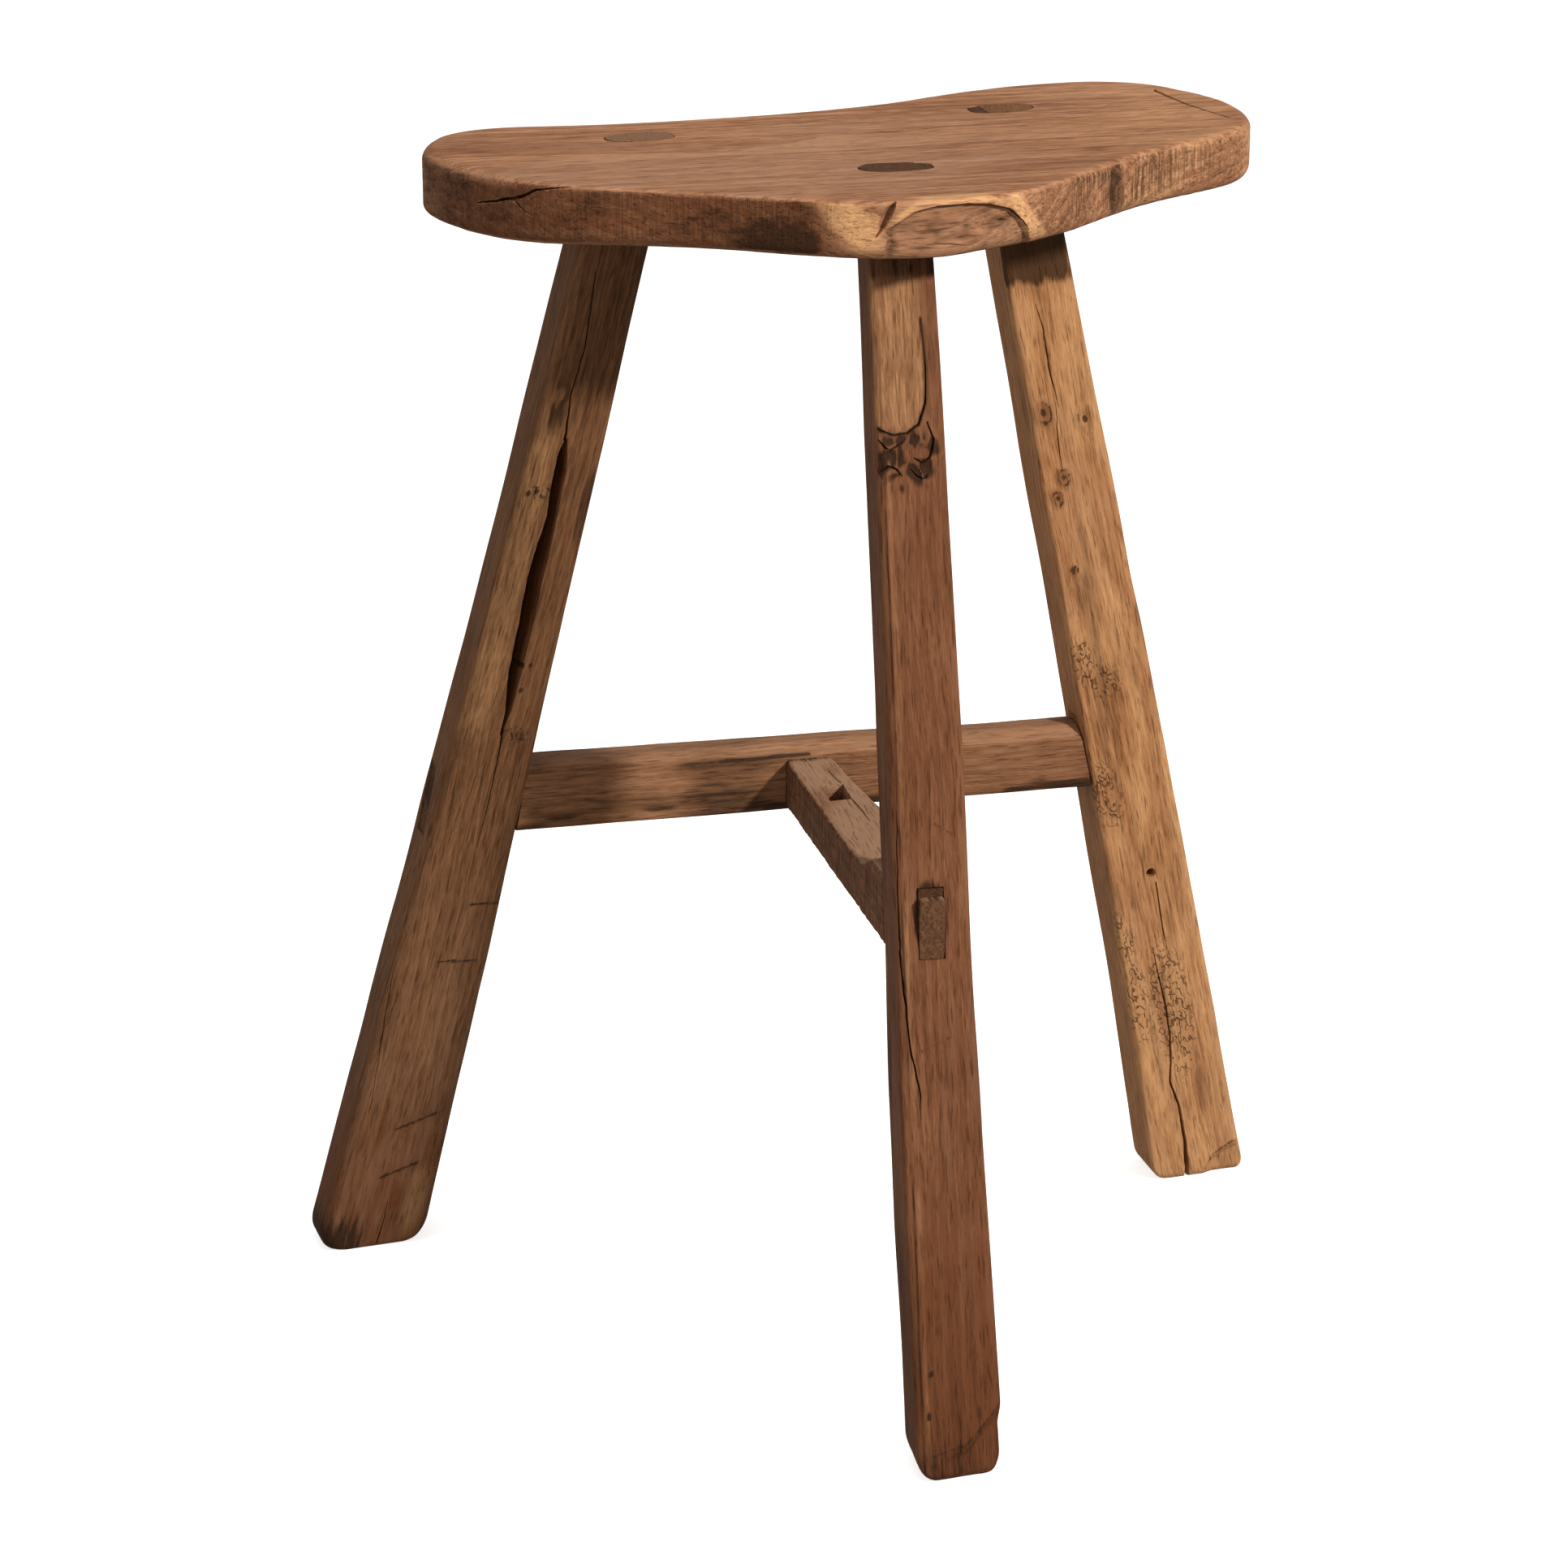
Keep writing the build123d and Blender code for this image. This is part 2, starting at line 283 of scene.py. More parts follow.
def growth_rings(make, bent, spacing):
    """Growth rings about the grain's axis, spacing millimetres apart."""
    inputs = {
        "Vector": make.vector("MULTIPLY", bent, (1.0, 1.0, 0.05)),
        "Scale": math.pi / (10 * spacing * MM),
        "Distortion": 1.6,
        "Detail": 2.0,
        "Detail Scale": 0.25,
    }
    settings = {"wave_type": "RINGS", "rings_direction": "Z", "wave_profile": "SAW"}
    return make.node("ShaderNodeTexWave", inputs, **settings).outputs["Fac"]


DRY_GREY = (0.34, 0.20, 0.125)
HEARTWOOD_RED = (0.108, 0.032, 0.011)
SAPWOOD = (0.82, 0.47, 0.20)
PORE_SHADE = (0.35, 0.28, 0.24)
FIBRE_SHARE = 0.72
CLOUD_SHARE = 0.36


def wood_material(name, deep, mid, light, stain_and_shade, grey=DRY_GREY, ring=3.2, figure=0.10, streaks=0.26):
    """Procedural wood. Its grain runs along the third grain coordinate."""
    material = bpy.data.materials.new(name)
    make = Nodes(material)
    ramp, blend, add, times = make.ramp, make.blend, make.add, make.times
    grain = make.node("ShaderNodeAttribute", attribute_name="grain").outputs["Vector"]
    dark, pale, dry, saw = make.channels("tone")
    worn, reddish, end, tracked = make.channels("marks")

    bent = wander(make, grain)
    rings = growth_rings(make, bent, ring)
    fibre = make.noise(bent, (1000.0, 1000.0, 85.0), 5.0, 0.75, 1.0)
    streak = make.noise(bent, (360.0, 360.0, 12.0), 5.0, 0.72, 2.0)
    cloud = make.noise(grain, (45.0, 45.0, 18.0), 6.0, 0.65, 3.0)
    pore = make.noise(bent, (1100.0, 1100.0, 90.0), 1.5, 0.5, 4.0)
    speckle = make.noise(grain, (900.0, 900.0, 900.0), 2.0, 0.6, 5.0)
    kerf = make.noise(grain, (900.0, 60.0, 900.0), 2.0, 0.6, 6.0)
    maze = make.noise(grain, (330.0, 330.0, 210.0), 1.0, 0.5, 7.0)
    gap = make.noise(grain, (420.0, 420.0, 300.0), 1.0, 0.5, 8.0)

    body = add(times(rings, figure), times(fibre, FIBRE_SHARE), times(streak, streaks))
    body = add(body, times(cloud, CLOUD_SHARE))
    centre = (FIBRE_SHARE + CLOUD_SHARE + figure + streaks) / 2
    colour = ramp(body, (centre - 0.17, deep), (centre, mid), (centre + 0.17, light))

    # Red heartwood, pale sapwood, grey dry wood and rubbed arrises.
    reddened = times(reddish, ramp(streak, (0.30, 0.65), (0.60, 1.0)))
    colour = blend(colour, blend(HEARTWOOD_RED, colour, 0.18), reddened)
    glow = blend(light, SAPWOOD, ramp(fibre, (0.35, 0.0), (0.7, 1.0)))
    colour = blend(colour, glow, times(pale, ramp(streak, (0.25, 0.55), (0.6, 1.0))))
    dusty = blend(grey, light, ramp(fibre, (0.42, 0.0), (0.72, 0.8)))
    colour = blend(colour, dusty, times(dry, ramp(fibre, (0.30, 0.25), (0.60, 0.9))))
    colour = blend(colour, light, times(worn, 0.40))
    # Dark weathering and painted shade sit in the grain first, then close over it.
    in_streaks = times(make.maths("SUBTRACT", streak, 0.5), 1.8)
    in_fibres = times(make.maths("SUBTRACT", fibre, 0.5), 1.9)
    reach = ramp(add(times(dark, 1.5), in_streaks, in_fibres), (0.42, 0.0), (1.0, 0.92))
    unstained_stays_clean = times(dark, 6.0, clamp=True)
    colour = blend(colour, stain_and_shade, times(reach, unstained_stays_clean, clamp=True))
    pores = ramp(pore, (0.57, 0.0), (0.68, 1.0))
    colour = blend(colour, PORE_SHADE, times(pores, 0.55), "MULTIPLY")
    # Saw marks are fine dark lines across the grain; beetle tracks are thin wandering lines.
    kerfs = times(ramp(kerf, (0.44, 0.0), (0.58, 1.0)), saw)
    colour = blend(colour, stain_and_shade, times(kerfs, 0.75))
    walls = make.node("ShaderNodeMath", {0: make.maths("SUBTRACT", maze, 0.5)}, operation="ABSOLUTE")
    lines = ramp(walls.outputs[0], (0.018, 1.0), (0.045, 0.0))
    tracks = times(lines, times(ramp(gap, (0.42, 0.0), (0.52, 1.0)), tracked))
    colour = blend(colour, stain_and_shade, times(tracks, 0.85))
    end_colour = blend(stain_and_shade, mid, ramp(speckle, (0.30, 0.0), (0.75, 0.8)))
    colour = blend(colour, end_colour, times(end, 0.85))

    rough = add(times(fibre, 0.22), 0.52, times(dry, 0.12), times(dark, 0.08), times(worn, -0.08), clamp=True)
    height = add(
        times(fibre, 0.55),
        times(streak, 0.5),
        times(pores, -0.35),
        times(kerfs, -0.6),
        times(tracks, -0.8),
        times(speckle, dark, 0.5),
    )
    bump = make.node("ShaderNodeBump", {"Strength": 0.8, "Distance": 0.7 * MM, "Height": height})
    finish = {
        "Base Color": colour,
        "Roughness": rough,
        "Normal": bump.outputs[0],
        "Specular IOR Level": 0.16,
        "Specular Tint": (1.0, 0.78, 0.58),
    }
    shader = make.node("ShaderNodeBsdfPrincipled", finish)
    make.node("ShaderNodeOutputMaterial", {0: shader.outputs[0]})
    return material


# Each wood's colours, linear: deep, middle and light grain, and its colour for stain and painted shade.
WOOD_COLOURS = {
    "leg_wood": ((0.055, 0.023, 0.009), (0.14, 0.062, 0.027), (0.23, 0.11, 0.052), (0.022, 0.01, 0.005)),
    "leg_wood_light": ((0.18, 0.072, 0.026), (0.37, 0.168, 0.068), (0.49, 0.25, 0.12), (0.045, 0.019, 0.009)),
    "leg_wood_red": (
        (0.075, 0.027, 0.011), (0.165, 0.067, 0.031), (0.26, 0.118, 0.058), (0.022, 0.009, 0.005),
    ),
    "seat_wood": ((0.15, 0.06, 0.027), (0.29, 0.13, 0.064), (0.4, 0.205, 0.112), (0.03, 0.012, 0.006)),
    "stretcher_wood": ((0.1, 0.042, 0.019), (0.23, 0.105, 0.05), (0.35, 0.18, 0.098), (0.026, 0.012, 0.007)),
    "wedge_wood": ((0.055, 0.023, 0.01), (0.125, 0.055, 0.025), (0.21, 0.1, 0.05), (0.022, 0.01, 0.005)),
    "split_wood": ((0.02, 0.008, 0.004), (0.045, 0.018, 0.008), (0.09, 0.04, 0.018), (0.01, 0.005, 0.003)),
}
WOOD_FIGURES = {
    "seat_wood": {"ring": 4.5, "figure": 0.12, "streaks": 0.60},
    "stretcher_wood": {"grey": (0.42, 0.27, 0.18)},
}
WOODS = {}
for wood, colours in WOOD_COLOURS.items():
    WOODS[wood] = wood_material(wood, *colours, **WOOD_FIGURES.get(wood, {}))


# ------------------------------------------------------------ building blocks
def section(half_u, half_v, radii, columns):
    """Rounded rectangles, one for each row: points and outward normals (u, v).

    radii holds four corner radii a row: front left, front right, back right, back left."""
    s = np.linspace(-1, 1, columns // 4, endpoint=False)
    s = 0.62 * s + 0.38 * np.sin(s * math.pi / 2)
    one = np.ones_like(s)
    square = np.concatenate([np.c_[s, -one], np.c_[one, s], np.c_[-s, one], np.c_[-one, -s]])
    sx, sy = square[:, 0], square[:, 1]
    right, back = (1 + sx) / 2, (1 + sy) / 2
    shares = np.array([(1 - right) * (1 - back), right * (1 - back), right * back, (1 - right) * back])
    r = np.asarray(radii) @ shares
    x, y = half_u[:, None] * sx, half_v[:, None] * sy
    inner_x = np.clip(x, -(half_u[:, None] - r), half_u[:, None] - r)
    inner_y = np.clip(y, -(half_v[:, None] - r), half_v[:, None] - r)
    nx, ny = x - inner_x, y - inner_y
    length = np.hypot(nx, ny)
    nx, ny = nx / length, ny / length
    return np.stack([inner_x + nx * r, inner_y + ny * r], -1), np.stack([nx, ny], -1)


def tube(rings, cap=(0.9, 0.72, 0.5, 0.25)):
    """Closed tube through rings[row, column, xyz]; both ends are capped."""
    first, last = rings[0], rings[-1]
    low = [first.mean(0) + (first - first.mean(0)) * f for f in reversed(cap)]
    high = [last.mean(0) + (last - last.mean(0)) * f for f in cap]
    rings = np.array(low + list(rings) + high)
    rows, columns = rings.shape[:2]
    points = np.concatenate([rings.reshape(-1, 3), [first.mean(0)], [last.mean(0)]])
    faces = grid_faces(rows, columns)
    end = rows * columns
    top = (rows - 1) * columns
    for c in range(columns):
        d = (c + 1) % columns
        faces.append((end, d, c))
        faces.append((end + 1, top + c, top + d))
    return points, faces


# Rings of a flat end that is wide enough to show, as shares of its width.
FINE_CAP = (0.97, 0.9, 0.8, 0.7, 0.6, 0.5, 0.4, 0.3, 0.2, 0.1)
PLAIN_CAP = (0.5,)


def face_out(obj):
    """Turns a closed cutter's faces outwards."""
    mesh = obj.data
    co = read_points(obj)
    volume = 0.0
    for poly in mesh.polygons:
        ids = list(poly.vertices)
        for k in range(1, len(ids) - 1):
            volume += np.dot(co[ids[0]], np.cross(co[ids[k]], co[ids[k + 1]]))
    if volume < 0:
        mesh.flip_normals()


def solid(name, rings, *cap):
    """Closed tube through the rings with its faces outwards."""
    points, faces = tube(rings, *cap)
    obj = make_mesh(name, points, faces)
    face_out(obj)
    return obj


def groove(path, inward, depth, seed=0, jitter=0.25):
    """Cutter along a path of (x, y, z, width) on a surface: that wide there, narrow inside."""
    path = np.asarray(path, float)
    inward = np.broadcast_to(np.asarray(inward, float), (len(path), 3))
    run = np.r_[0, np.cumsum(np.linalg.norm(np.diff(path[:, :3], axis=0), axis=1))]
    places = np.linspace(0, run[-1], max(5, int(run[-1] / 1.6)))
    p = np.stack([np.interp(places, run, path[:, k]) for k in range(3)], 1)
    n = np.stack([np.interp(places, run, inward[:, k]) for k in range(3)], 1)
    n /= np.linalg.norm(n, axis=1)[:, None]
    width = np.interp(places, run, path[:, 3])
    along = np.gradient(p, axis=0)
    along /= np.linalg.norm(along, axis=1)[:, None]
    side = np.cross(along, n)
    side /= np.linalg.norm(side, axis=1)[:, None]
    line = np.c_[places, places * 0, places * 0]
    ease = np.minimum(1, np.minimum(places, run[-1] - places) / 3)
    p = p + side * (noise(line, (4, 1, 1), seed + 40) * jitter * ease)[:, None]
    ragged = 0.25 * min(1, 2 / path[:, 3].max())
    width = width * (1 + ragged * noise(line, (3, 1, 1), seed + 41))
    half = side * (width / 2)[:, None]
    outer = p - n * 2.5
    inner = p + n * (depth * (0.35 + 0.65 * np.minimum(1, width / width.max())))[:, None]
    rings = np.stack([outer - half, outer + half, inner + half * 0.3, inner - half * 0.3], 1)
    return solid("groove", rings, PLAIN_CAP)


def box_cutter(name, corners_low, corners_high):
    """Closed block between two loops of four corners."""
    points = list(corners_low) + list(corners_high)
    faces = [(3, 2, 1, 0), (4, 5, 6, 7), (0, 1, 5, 4), (1, 2, 6, 5), (2, 3, 7, 6), (3, 0, 4, 7)]
    obj = make_mesh(name, points, faces, smooth_shading=False)
    face_out(obj)
    return obj


def upright_box(name, low, high):
    """Block cutter along the row's axes."""
    (x0, y0, z0), (x1, y1, z1) = low, high
    plan = [(x0, y0), (x1, y0), (x1, y1), (x0, y1)]
    return box_cutter(name, [(*corner, z0) for corner in plan], [(*corner, z1) for corner in plan])


# --------------------------------------------------------------------- legs
# foot and head: the centre line's place on the floor and under the seat.
# foot_size and head_size: width and depth there. twist: turn about the upright,
# in degrees. tenon: left and right edge of the seat tenon from the centre line.
# wedge_side: which edge of the tenon the wedge is driven against.
Leg = namedtuple("Leg", "foot head foot_size head_size twist tenon wedge_side")

LEFT = Leg((-186, 126), (-82, 42), (46, 26), (25.5, 27), 6, (-11, 10), 1)
RIGHT = Leg((188, 116), (80, 61), (42.5, 26), (27, 25), 4, (-8, 12), -1)
FRONT = Leg((14, -127), (7, -38), (35, 26), (25, 25), -2, (-12, 10), 1)

TENON_HALF = 7.0
TENON_FOOT = 6.0
JOINT_GAP = 0.3
WEDGE_HEAD = 5.5
WEDGE_TIP = 0.8
WEDGE_LENGTH = 18.0
# Corner radii at the far end and at the wedge's end of a tenon, a wedge and a mortise.
TENON_ROUND = (4.5, 0.3)
WEDGE_ROUND = (0.3, 2.5)
MORTISE_ROUND = (4.5, 2.6)


def leg_axes(leg):
    turn = math.radians(leg.twist)
    across = np.array([math.cos(turn), math.sin(turn), 0])
    depth = np.array([-math.sin(turn), math.cos(turn), 0])
    foot = np.array([*leg.foot, 0.0])
    rise = (np.array([*leg.head, SEAT_UNDER]) - foot) / SEAT_UNDER
    return foot, rise, across, depth


def leg_world(leg, local):
    foot, rise, across, depth = leg_axes(leg)
    local = np.asarray(local, float)
    return foot + local[..., 2:3] * rise + local[..., 0:1] * across + local[..., 1:2] * depth


def leg_local(leg, points):
    foot, rise, across, depth = leg_axes(leg)
    rest = points - foot - points[:, 2:3] * rise
    return np.c_[rest @ across, rest @ depth, points[:, 2]]


def leg_half(leg, z):
    part = np.asarray(z, float) / SEAT_UNDER
    half_u = (leg.foot_size[0] + (leg.head_size[0] - leg.foot_size[0]) * part) / 2
    half_v = (leg.foot_size[1] + (leg.head_size[1] - leg.foot_size[1]) * part) / 2
    return half_u, half_v


def face_path(leg, path, lift=0.0):
    """Points (u, z) on the leg's front face, as row points."""
    path = np.asarray(path, float)
    return leg_world(leg, np.c_[path[:, 0], -leg_half(leg, path[:, 1])[1] - lift, path[:, 1]])


def face_groove(leg, path, depth, seed, jitter=0.25):
    """Crack in the leg's front face along a path of (u, z, width)."""
    path = np.asarray(path, float)
    return groove(np.c_[face_path(leg, path[:, :2]), path[:, 2]], leg_axes(leg)[3], depth, seed, jitter)


def face_centre(leg, z):
    """Middle of the leg's front face at height z."""
    return leg_world(leg, np.array([0, -leg_half(leg, z)[1], z]))


def shaft(leg, seed, corner, foot_round, sculpt):
    """The leg's tapered shaft, hewn and worn."""
    columns = 176
    z = np.concatenate([np.linspace(0, 13, 22), np.linspace(13, SEAT_UNDER, 428)[1:]])
    half_u, half_v = leg_half(leg, z)
    line = np.c_[z * 0, z * 0, z]
    half_u = half_u + 0.45 * noise(line, (1, 1, 75), seed)
    half_v = half_v + 0.35 * noise(line, (1, 1, 65), seed + 1)
    for_u = np.clip(foot_round[0] - z, 0, None)
    for_v = np.clip(foot_round[1] - z, 0, None)
    half_u = half_u - (foot_round[0] - np.sqrt(foot_round[0] ** 2 - for_u**2)) * 0.7
    half_v = half_v - (foot_round[1] - np.sqrt(foot_round[1] ** 2 - for_v**2)) * 0.8
    radii = np.stack([corner[k] * (1 + 0.35 * noise(line, (1, 1, 48), seed + 5 + k)) for k in range(4)], 1)
    flat, normal = section(half_u, half_v, radii, columns)
    local = np.dstack([flat, np.broadcast_to(z[:, None], flat.shape[:2])]).reshape(-1, 3)
    normal = normal.reshape(-1, 2)
    inward = 0.28 * noise(local, (34, 34, 62), seed + 10)
    inward += 0.13 * noise(local, (7, 7, 48), seed + 12)
    inward += 0.06 * noise(local, (2.0, 2.0, 20), seed + 14)
    inward += sculpt(local[:, 0], local[:, 1], local[:, 2], normal[:, 0], normal[:, 1])
    local[:, :2] -= normal * inward[:, None]
    points, faces = tube(leg_world(leg, local).reshape(len(z), columns, 3))
    return make_mesh("shaft", points, faces)


def upright_rings(leg, z, left, right, half_v, radii, columns=64):
    """Rings in the leg's line from left to right (u), with a corner radius for each end."""
    half_u = (right - left) / 2
    ends = np.array([radii[0], radii[1], radii[1], radii[0]], float)
    corners = np.minimum(ends[None, :], half_u[:, None] * 0.9)
    flat, _ = section(half_u, half_v + 0 * z, corners, columns)
    across = flat[..., 0] + ((left + right) / 2)[:, None]
    # The whole joint, tenon and wedge, is a little barrel shaped.
    joint = (leg.tenon[0] + leg.tenon[1] + leg.wedge_side * WEDGE_HEAD) / 2
    reach = (leg.tenon[1] - leg.tenon[0] + WEDGE_HEAD) / 2
    flat[..., 1] *= 1 - 0.42 * np.clip(np.abs(across - joint) / reach, 0, 1.1) ** 3
    return leg_world(leg, np.dstack([across, flat[..., 1], np.broadcast_to(z[:, None], across.shape)]))


def post(leg, span_low, span_high, half_v, z_low, z_high, seed, radii, sunk=0.25):
    """Tenon or wedge in the leg's line; span_low and span_high are its u range at each end."""
    z = np.linspace(z_low, z_high, 12)
    part = (z - z_low) / (z_high - z_low)
    left = span_low[0] + (span_high[0] - span_low[0]) * part
    right = span_low[1] + (span_high[1] - span_low[1]) * part
    rings = upright_rings(leg, z, left, right, half_v, radii)
    points, faces = tube(rings, FINE_CAP)
    high = points[:, 2] > z_high - 0.5
    points[high, 2] += 0.16 * noise(points[high], (2.2, 2.2, 4), seed) - sunk
    return make_mesh("post", points, faces)


def wedge_spans(leg):
    """u ranges of the wedge at its tip and its head."""
    edge = leg.tenon[1] if leg.wedge_side > 0 else leg.tenon[0]
    tip = sorted((edge, edge + leg.wedge_side * WEDGE_TIP))
    head = sorted((edge, edge + leg.wedge_side * WEDGE_HEAD))
    return tip, head


def by_side(leg, radii):
    """Radii (far, near the wedge) as a (left, right) pair."""
    return radii if leg.wedge_side > 0 else radii[::-1]


def end_mask(points, normals, direction, low=0.75, high=0.95):
    """1 where a surface faces along the grain."""
    direction = np.asarray(direction, float)
    return smooth(low, high, np.abs(normals @ (direction / np.linalg.norm(direction))))


def leg_piece(node, wood, leg, seed, cutters, sculpt, describe, corner, foot_round, pith, end_tone):
    """A whole leg: shaft with its cuts, seat tenon, and looks.

    corner: arris radii, front left first. foot_round: foot radii across and deep.
    pith: the tree's heart from the centre line. end_tone: how dark the tenon's end is."""
    body = shaft(leg, seed, corner, foot_round, sculpt)
    cut(body, cutters)
    corners = by_side(leg, TENON_ROUND)
    tenon = post(leg, leg.tenon, leg.tenon, TENON_HALF, SEAT_UNDER - TENON_FOOT, SEAT_TOP, seed + 3, corners)
    piece = join([body, tenon])
    local = leg_local(leg, read_points(piece))
    u, v, z = local.T
    half_u, half_v = leg_half(leg, z)
    front = smooth(0.55, 0.95, -v / half_v)
    masks = describe(u, v, z, front)
    near_arris = smooth(4.5, 0.8, (half_u - np.abs(u)) + (half_v - np.abs(v)))
    masks["worn"] = near_arris * smooth(-0.15, 0.45, noise(local, (6, 6, 26), seed + 20))
    top = z > SEAT_TOP - 1.5
    masks["end"] = np.where(top, end_tone, 1.0 * (z < 0.6))
    masks["grey"] = np.where(top, 1.15 * (1 - end_tone), masks["grey"])
    stain_and_shade = np.where(top, 0.75 * end_tone**2, masks["stain_and_shade"])
    # Painted shade: every leg darkens in the 14 mm just under the seat.
    seat_shade = smooth(14, 1, SEAT_UNDER - z) * (z < SEAT_UNDER + 1)
    masks["stain_and_shade"] = most(stain_and_shade, 0.2 * seat_shade)
    finish_piece(piece, node, wood, np.c_[u + pith[0], v + pith[1], z + 900 * seed], masks)


# The back stretcher: its faces, and the through tenons at its ends.
RAIL_FRONT_Y = 79.0
RAIL_BACK_Y = 97.0
RAIL_LOW_Z = 201.5
RAIL_HIGH_Z = 231.5
RAIL_MID_Z = (RAIL_LOW_Z + RAIL_HIGH_Z) / 2
RAIL_TENON_Y = 88.5
RAIL_TENON_HALF = 4.5
RAIL_BAR = (
    (-200, RAIL_TENON_Y - RAIL_TENON_HALF, RAIL_LOW_Z),
    (200, RAIL_TENON_Y + RAIL_TENON_HALF, RAIL_HIGH_Z),
)

# The front stretcher's through tenon, and the wedge above it.
TIE_BAR = ((4, -112, 206), (14, -60, 230))
TIE_WEDGE_X = 9.0
TIE_WEDGE_HEAD = 3.4
TIE_WEDGE_TIP = 0.6
TIE_WEDGE_LENGTH = 18.0


def grown(box, gap=JOINT_GAP):
    low, high = box
    return [c - gap for c in low], [c + gap for c in high]


def left_relief(u, v, z, nu, nv):
    front = smooth(0.3, 0.9, -nv)
    inward = 0.8 * front * band(z, 245, 385, 14) * smooth(-4, -13, u)
    inward += 1.0 * front * blob(u, z, 14.5, 62, 6, 4.0, 0.8)
    inward += 0.8 * front * blob(u, z, 12.5, 38, 6, 3.4, 0.8)
    inward += 0.5 * front * blob(u, z, -8, 393, 4, 12)
    outer, inner = smooth(0.3, 0.9, -nu), smooth(0.3, 0.9, nu)
    inward += outer * (0.5 * band(z, 170, 330, 50) - 1.2 * smooth(330, 460, z) - 0.8)
    inward -= 0.4 * inner * band(z, 30, 170, 30)
    return inward


LEFT_HOLES = ((-9, 357), (-12, 356), (3.4, 279), (6.5, 279), (4.9, 268))
LEFT_NICKS = ([(6, 169), (18, 168)], [(-3, 143), (15, 141)], [(-2, 61), (14, 66)], [(-4, 37), (12, 42)])


def left_marks(u, v, z, front):
    line = np.c_[u, v, z]
    rough = noise(line, (4, 9, 22), 301)
    flecks = smooth(-0.5, 0.3, noise(line, (1.6, 3, 9), 302))
    scabs = smooth(-0.6, 0.2, noise(line, (1.8, 3, 5), 303))
    outer = smooth(0.6, 0.95, -u / leg_half(LEFT, z)[0])
    stain_and_shade = most(
        0.36 * front * band(z, 378, 474, 8) * band(u + 1.5 * rough, 1.5, 8.5, 1.2) * flecks,
        0.55 * front * blob(u, z, 13, 346, 3, 20),
        0.6 * front * blob(u + rough, z, -8, 393, 3.5, 13, 0.6) * scabs,
        0.5 * front * blob(u, z, 9.4, 246.5, 2.4, 3.4),
        0.25 * smooth(90, 20, z) + 0.6 * smooth(26, 4, z) * smooth(2, -16, u + 4 * rough),
        0.2 + 0.25 * rough - 0.4 * front - 0.2 * outer,
        0.8 * front * most(*(blob(u, z, *hole, 1.0, 1.4, 0.4) for hole in LEFT_HOLES)),
        0.75 * front * most(*(path_mask(u, z, nick, 1.4) for nick in LEFT_NICKS)),
    )
    pale = most(
        0.22 * front * band(z, 250, 382, 8) * smooth(-3, -7, u),
        0.4 * front * blob(u, z, 15, 22, 5, 16, 0.6),
    )
    return {
        "stain_and_shade": stain_and_shade,
        "pale": pale,
        "grey": 0.35 * front * smooth(240, 60, z) * smooth(-0.3, 0.5, rough),
        "red": smooth(110, 10, z) + 0.25 * smooth(0.0, 0.6, rough),
        "track": front * most(blob(u, z, 7, 247, 6, 4), blob(u, z, -8, 356, 5, 3)),
    }


# Edge of the golden part of the front leg, above the knots, and of the broken chip
# at its foot; both are (u, z) on the front face.
KNOT_EDGE = [
    (5.8, 447), (6.6, 437), (6.9, 428), (6.2, 416), (3.2, 408), (-1.5, 405), (-7, 404.5), (-12.5, 407),
]
CHIP_EDGE = [(-11, 11), (2.5, 14.6), (9.5, 22), (18, 31)]
FRONT_HOLES = ((-10.5, 44), (-12, 27), (3, 465), (1, 470))


def knot_lumps(line):
    """Warped noise that shapes and colours the knots of the front leg."""
    bent = line + np.c_[1.8 * noise(line, (5, 5, 6), 315), 0 * line[:, 1], 2.6 * noise(line, (6, 6, 5), 316)]
    return noise(bent, (4.6, 4.6, 5.2), 311)


def front_relief(u, v, z, nu, nv):
    front = smooth(0.3, 0.9, -nv)
    inward = 0.9 * front * blob(u, z, -2.5, 434, 10, 30, 0.6)
    lumps = knot_lumps(np.c_[u, v, z])
    cluster = front * blob(u, z, -2, 396, 14, 12, 0.45)
    inward += cluster * (1.5 * np.abs(lumps) - 0.7)
    inward += 0.7 * front * blob(u, z, -1.8, 219, 9, 20, 0.4)
    edge = np.interp(u, *np.transpose(CHIP_EDGE))
    inward += 2.2 * smooth(0.3, 5, edge - z) * front * smooth(-12, 8, u)
    inward += 1.6 * smooth(0, 10, edge - z) * smooth(0.4, 0.9, nu)
    inward += 1.0 * smooth(0.3, 0.9, nu) * band(z, 100, 250, 40)
    inward -= 0.9 * smooth(0.3, 0.9, -nu) * band(z, 60, 190, 40)
    return inward


def golden_side(u, z):
    """1 on the smooth golden part above the knots."""
    path = np.array(KNOT_EDGE)
    right = np.interp(z, path[:6, 1][::-1], path[:6, 0][::-1])
    low = np.interp(u, path[4:, 0][::-1], path[4:, 1][::-1])
    soft = 0.5 + 3.5 * smooth(425, 450, z)
    return smooth(soft, -soft, u - right) * smooth(-0.5, 0.5, z - low)


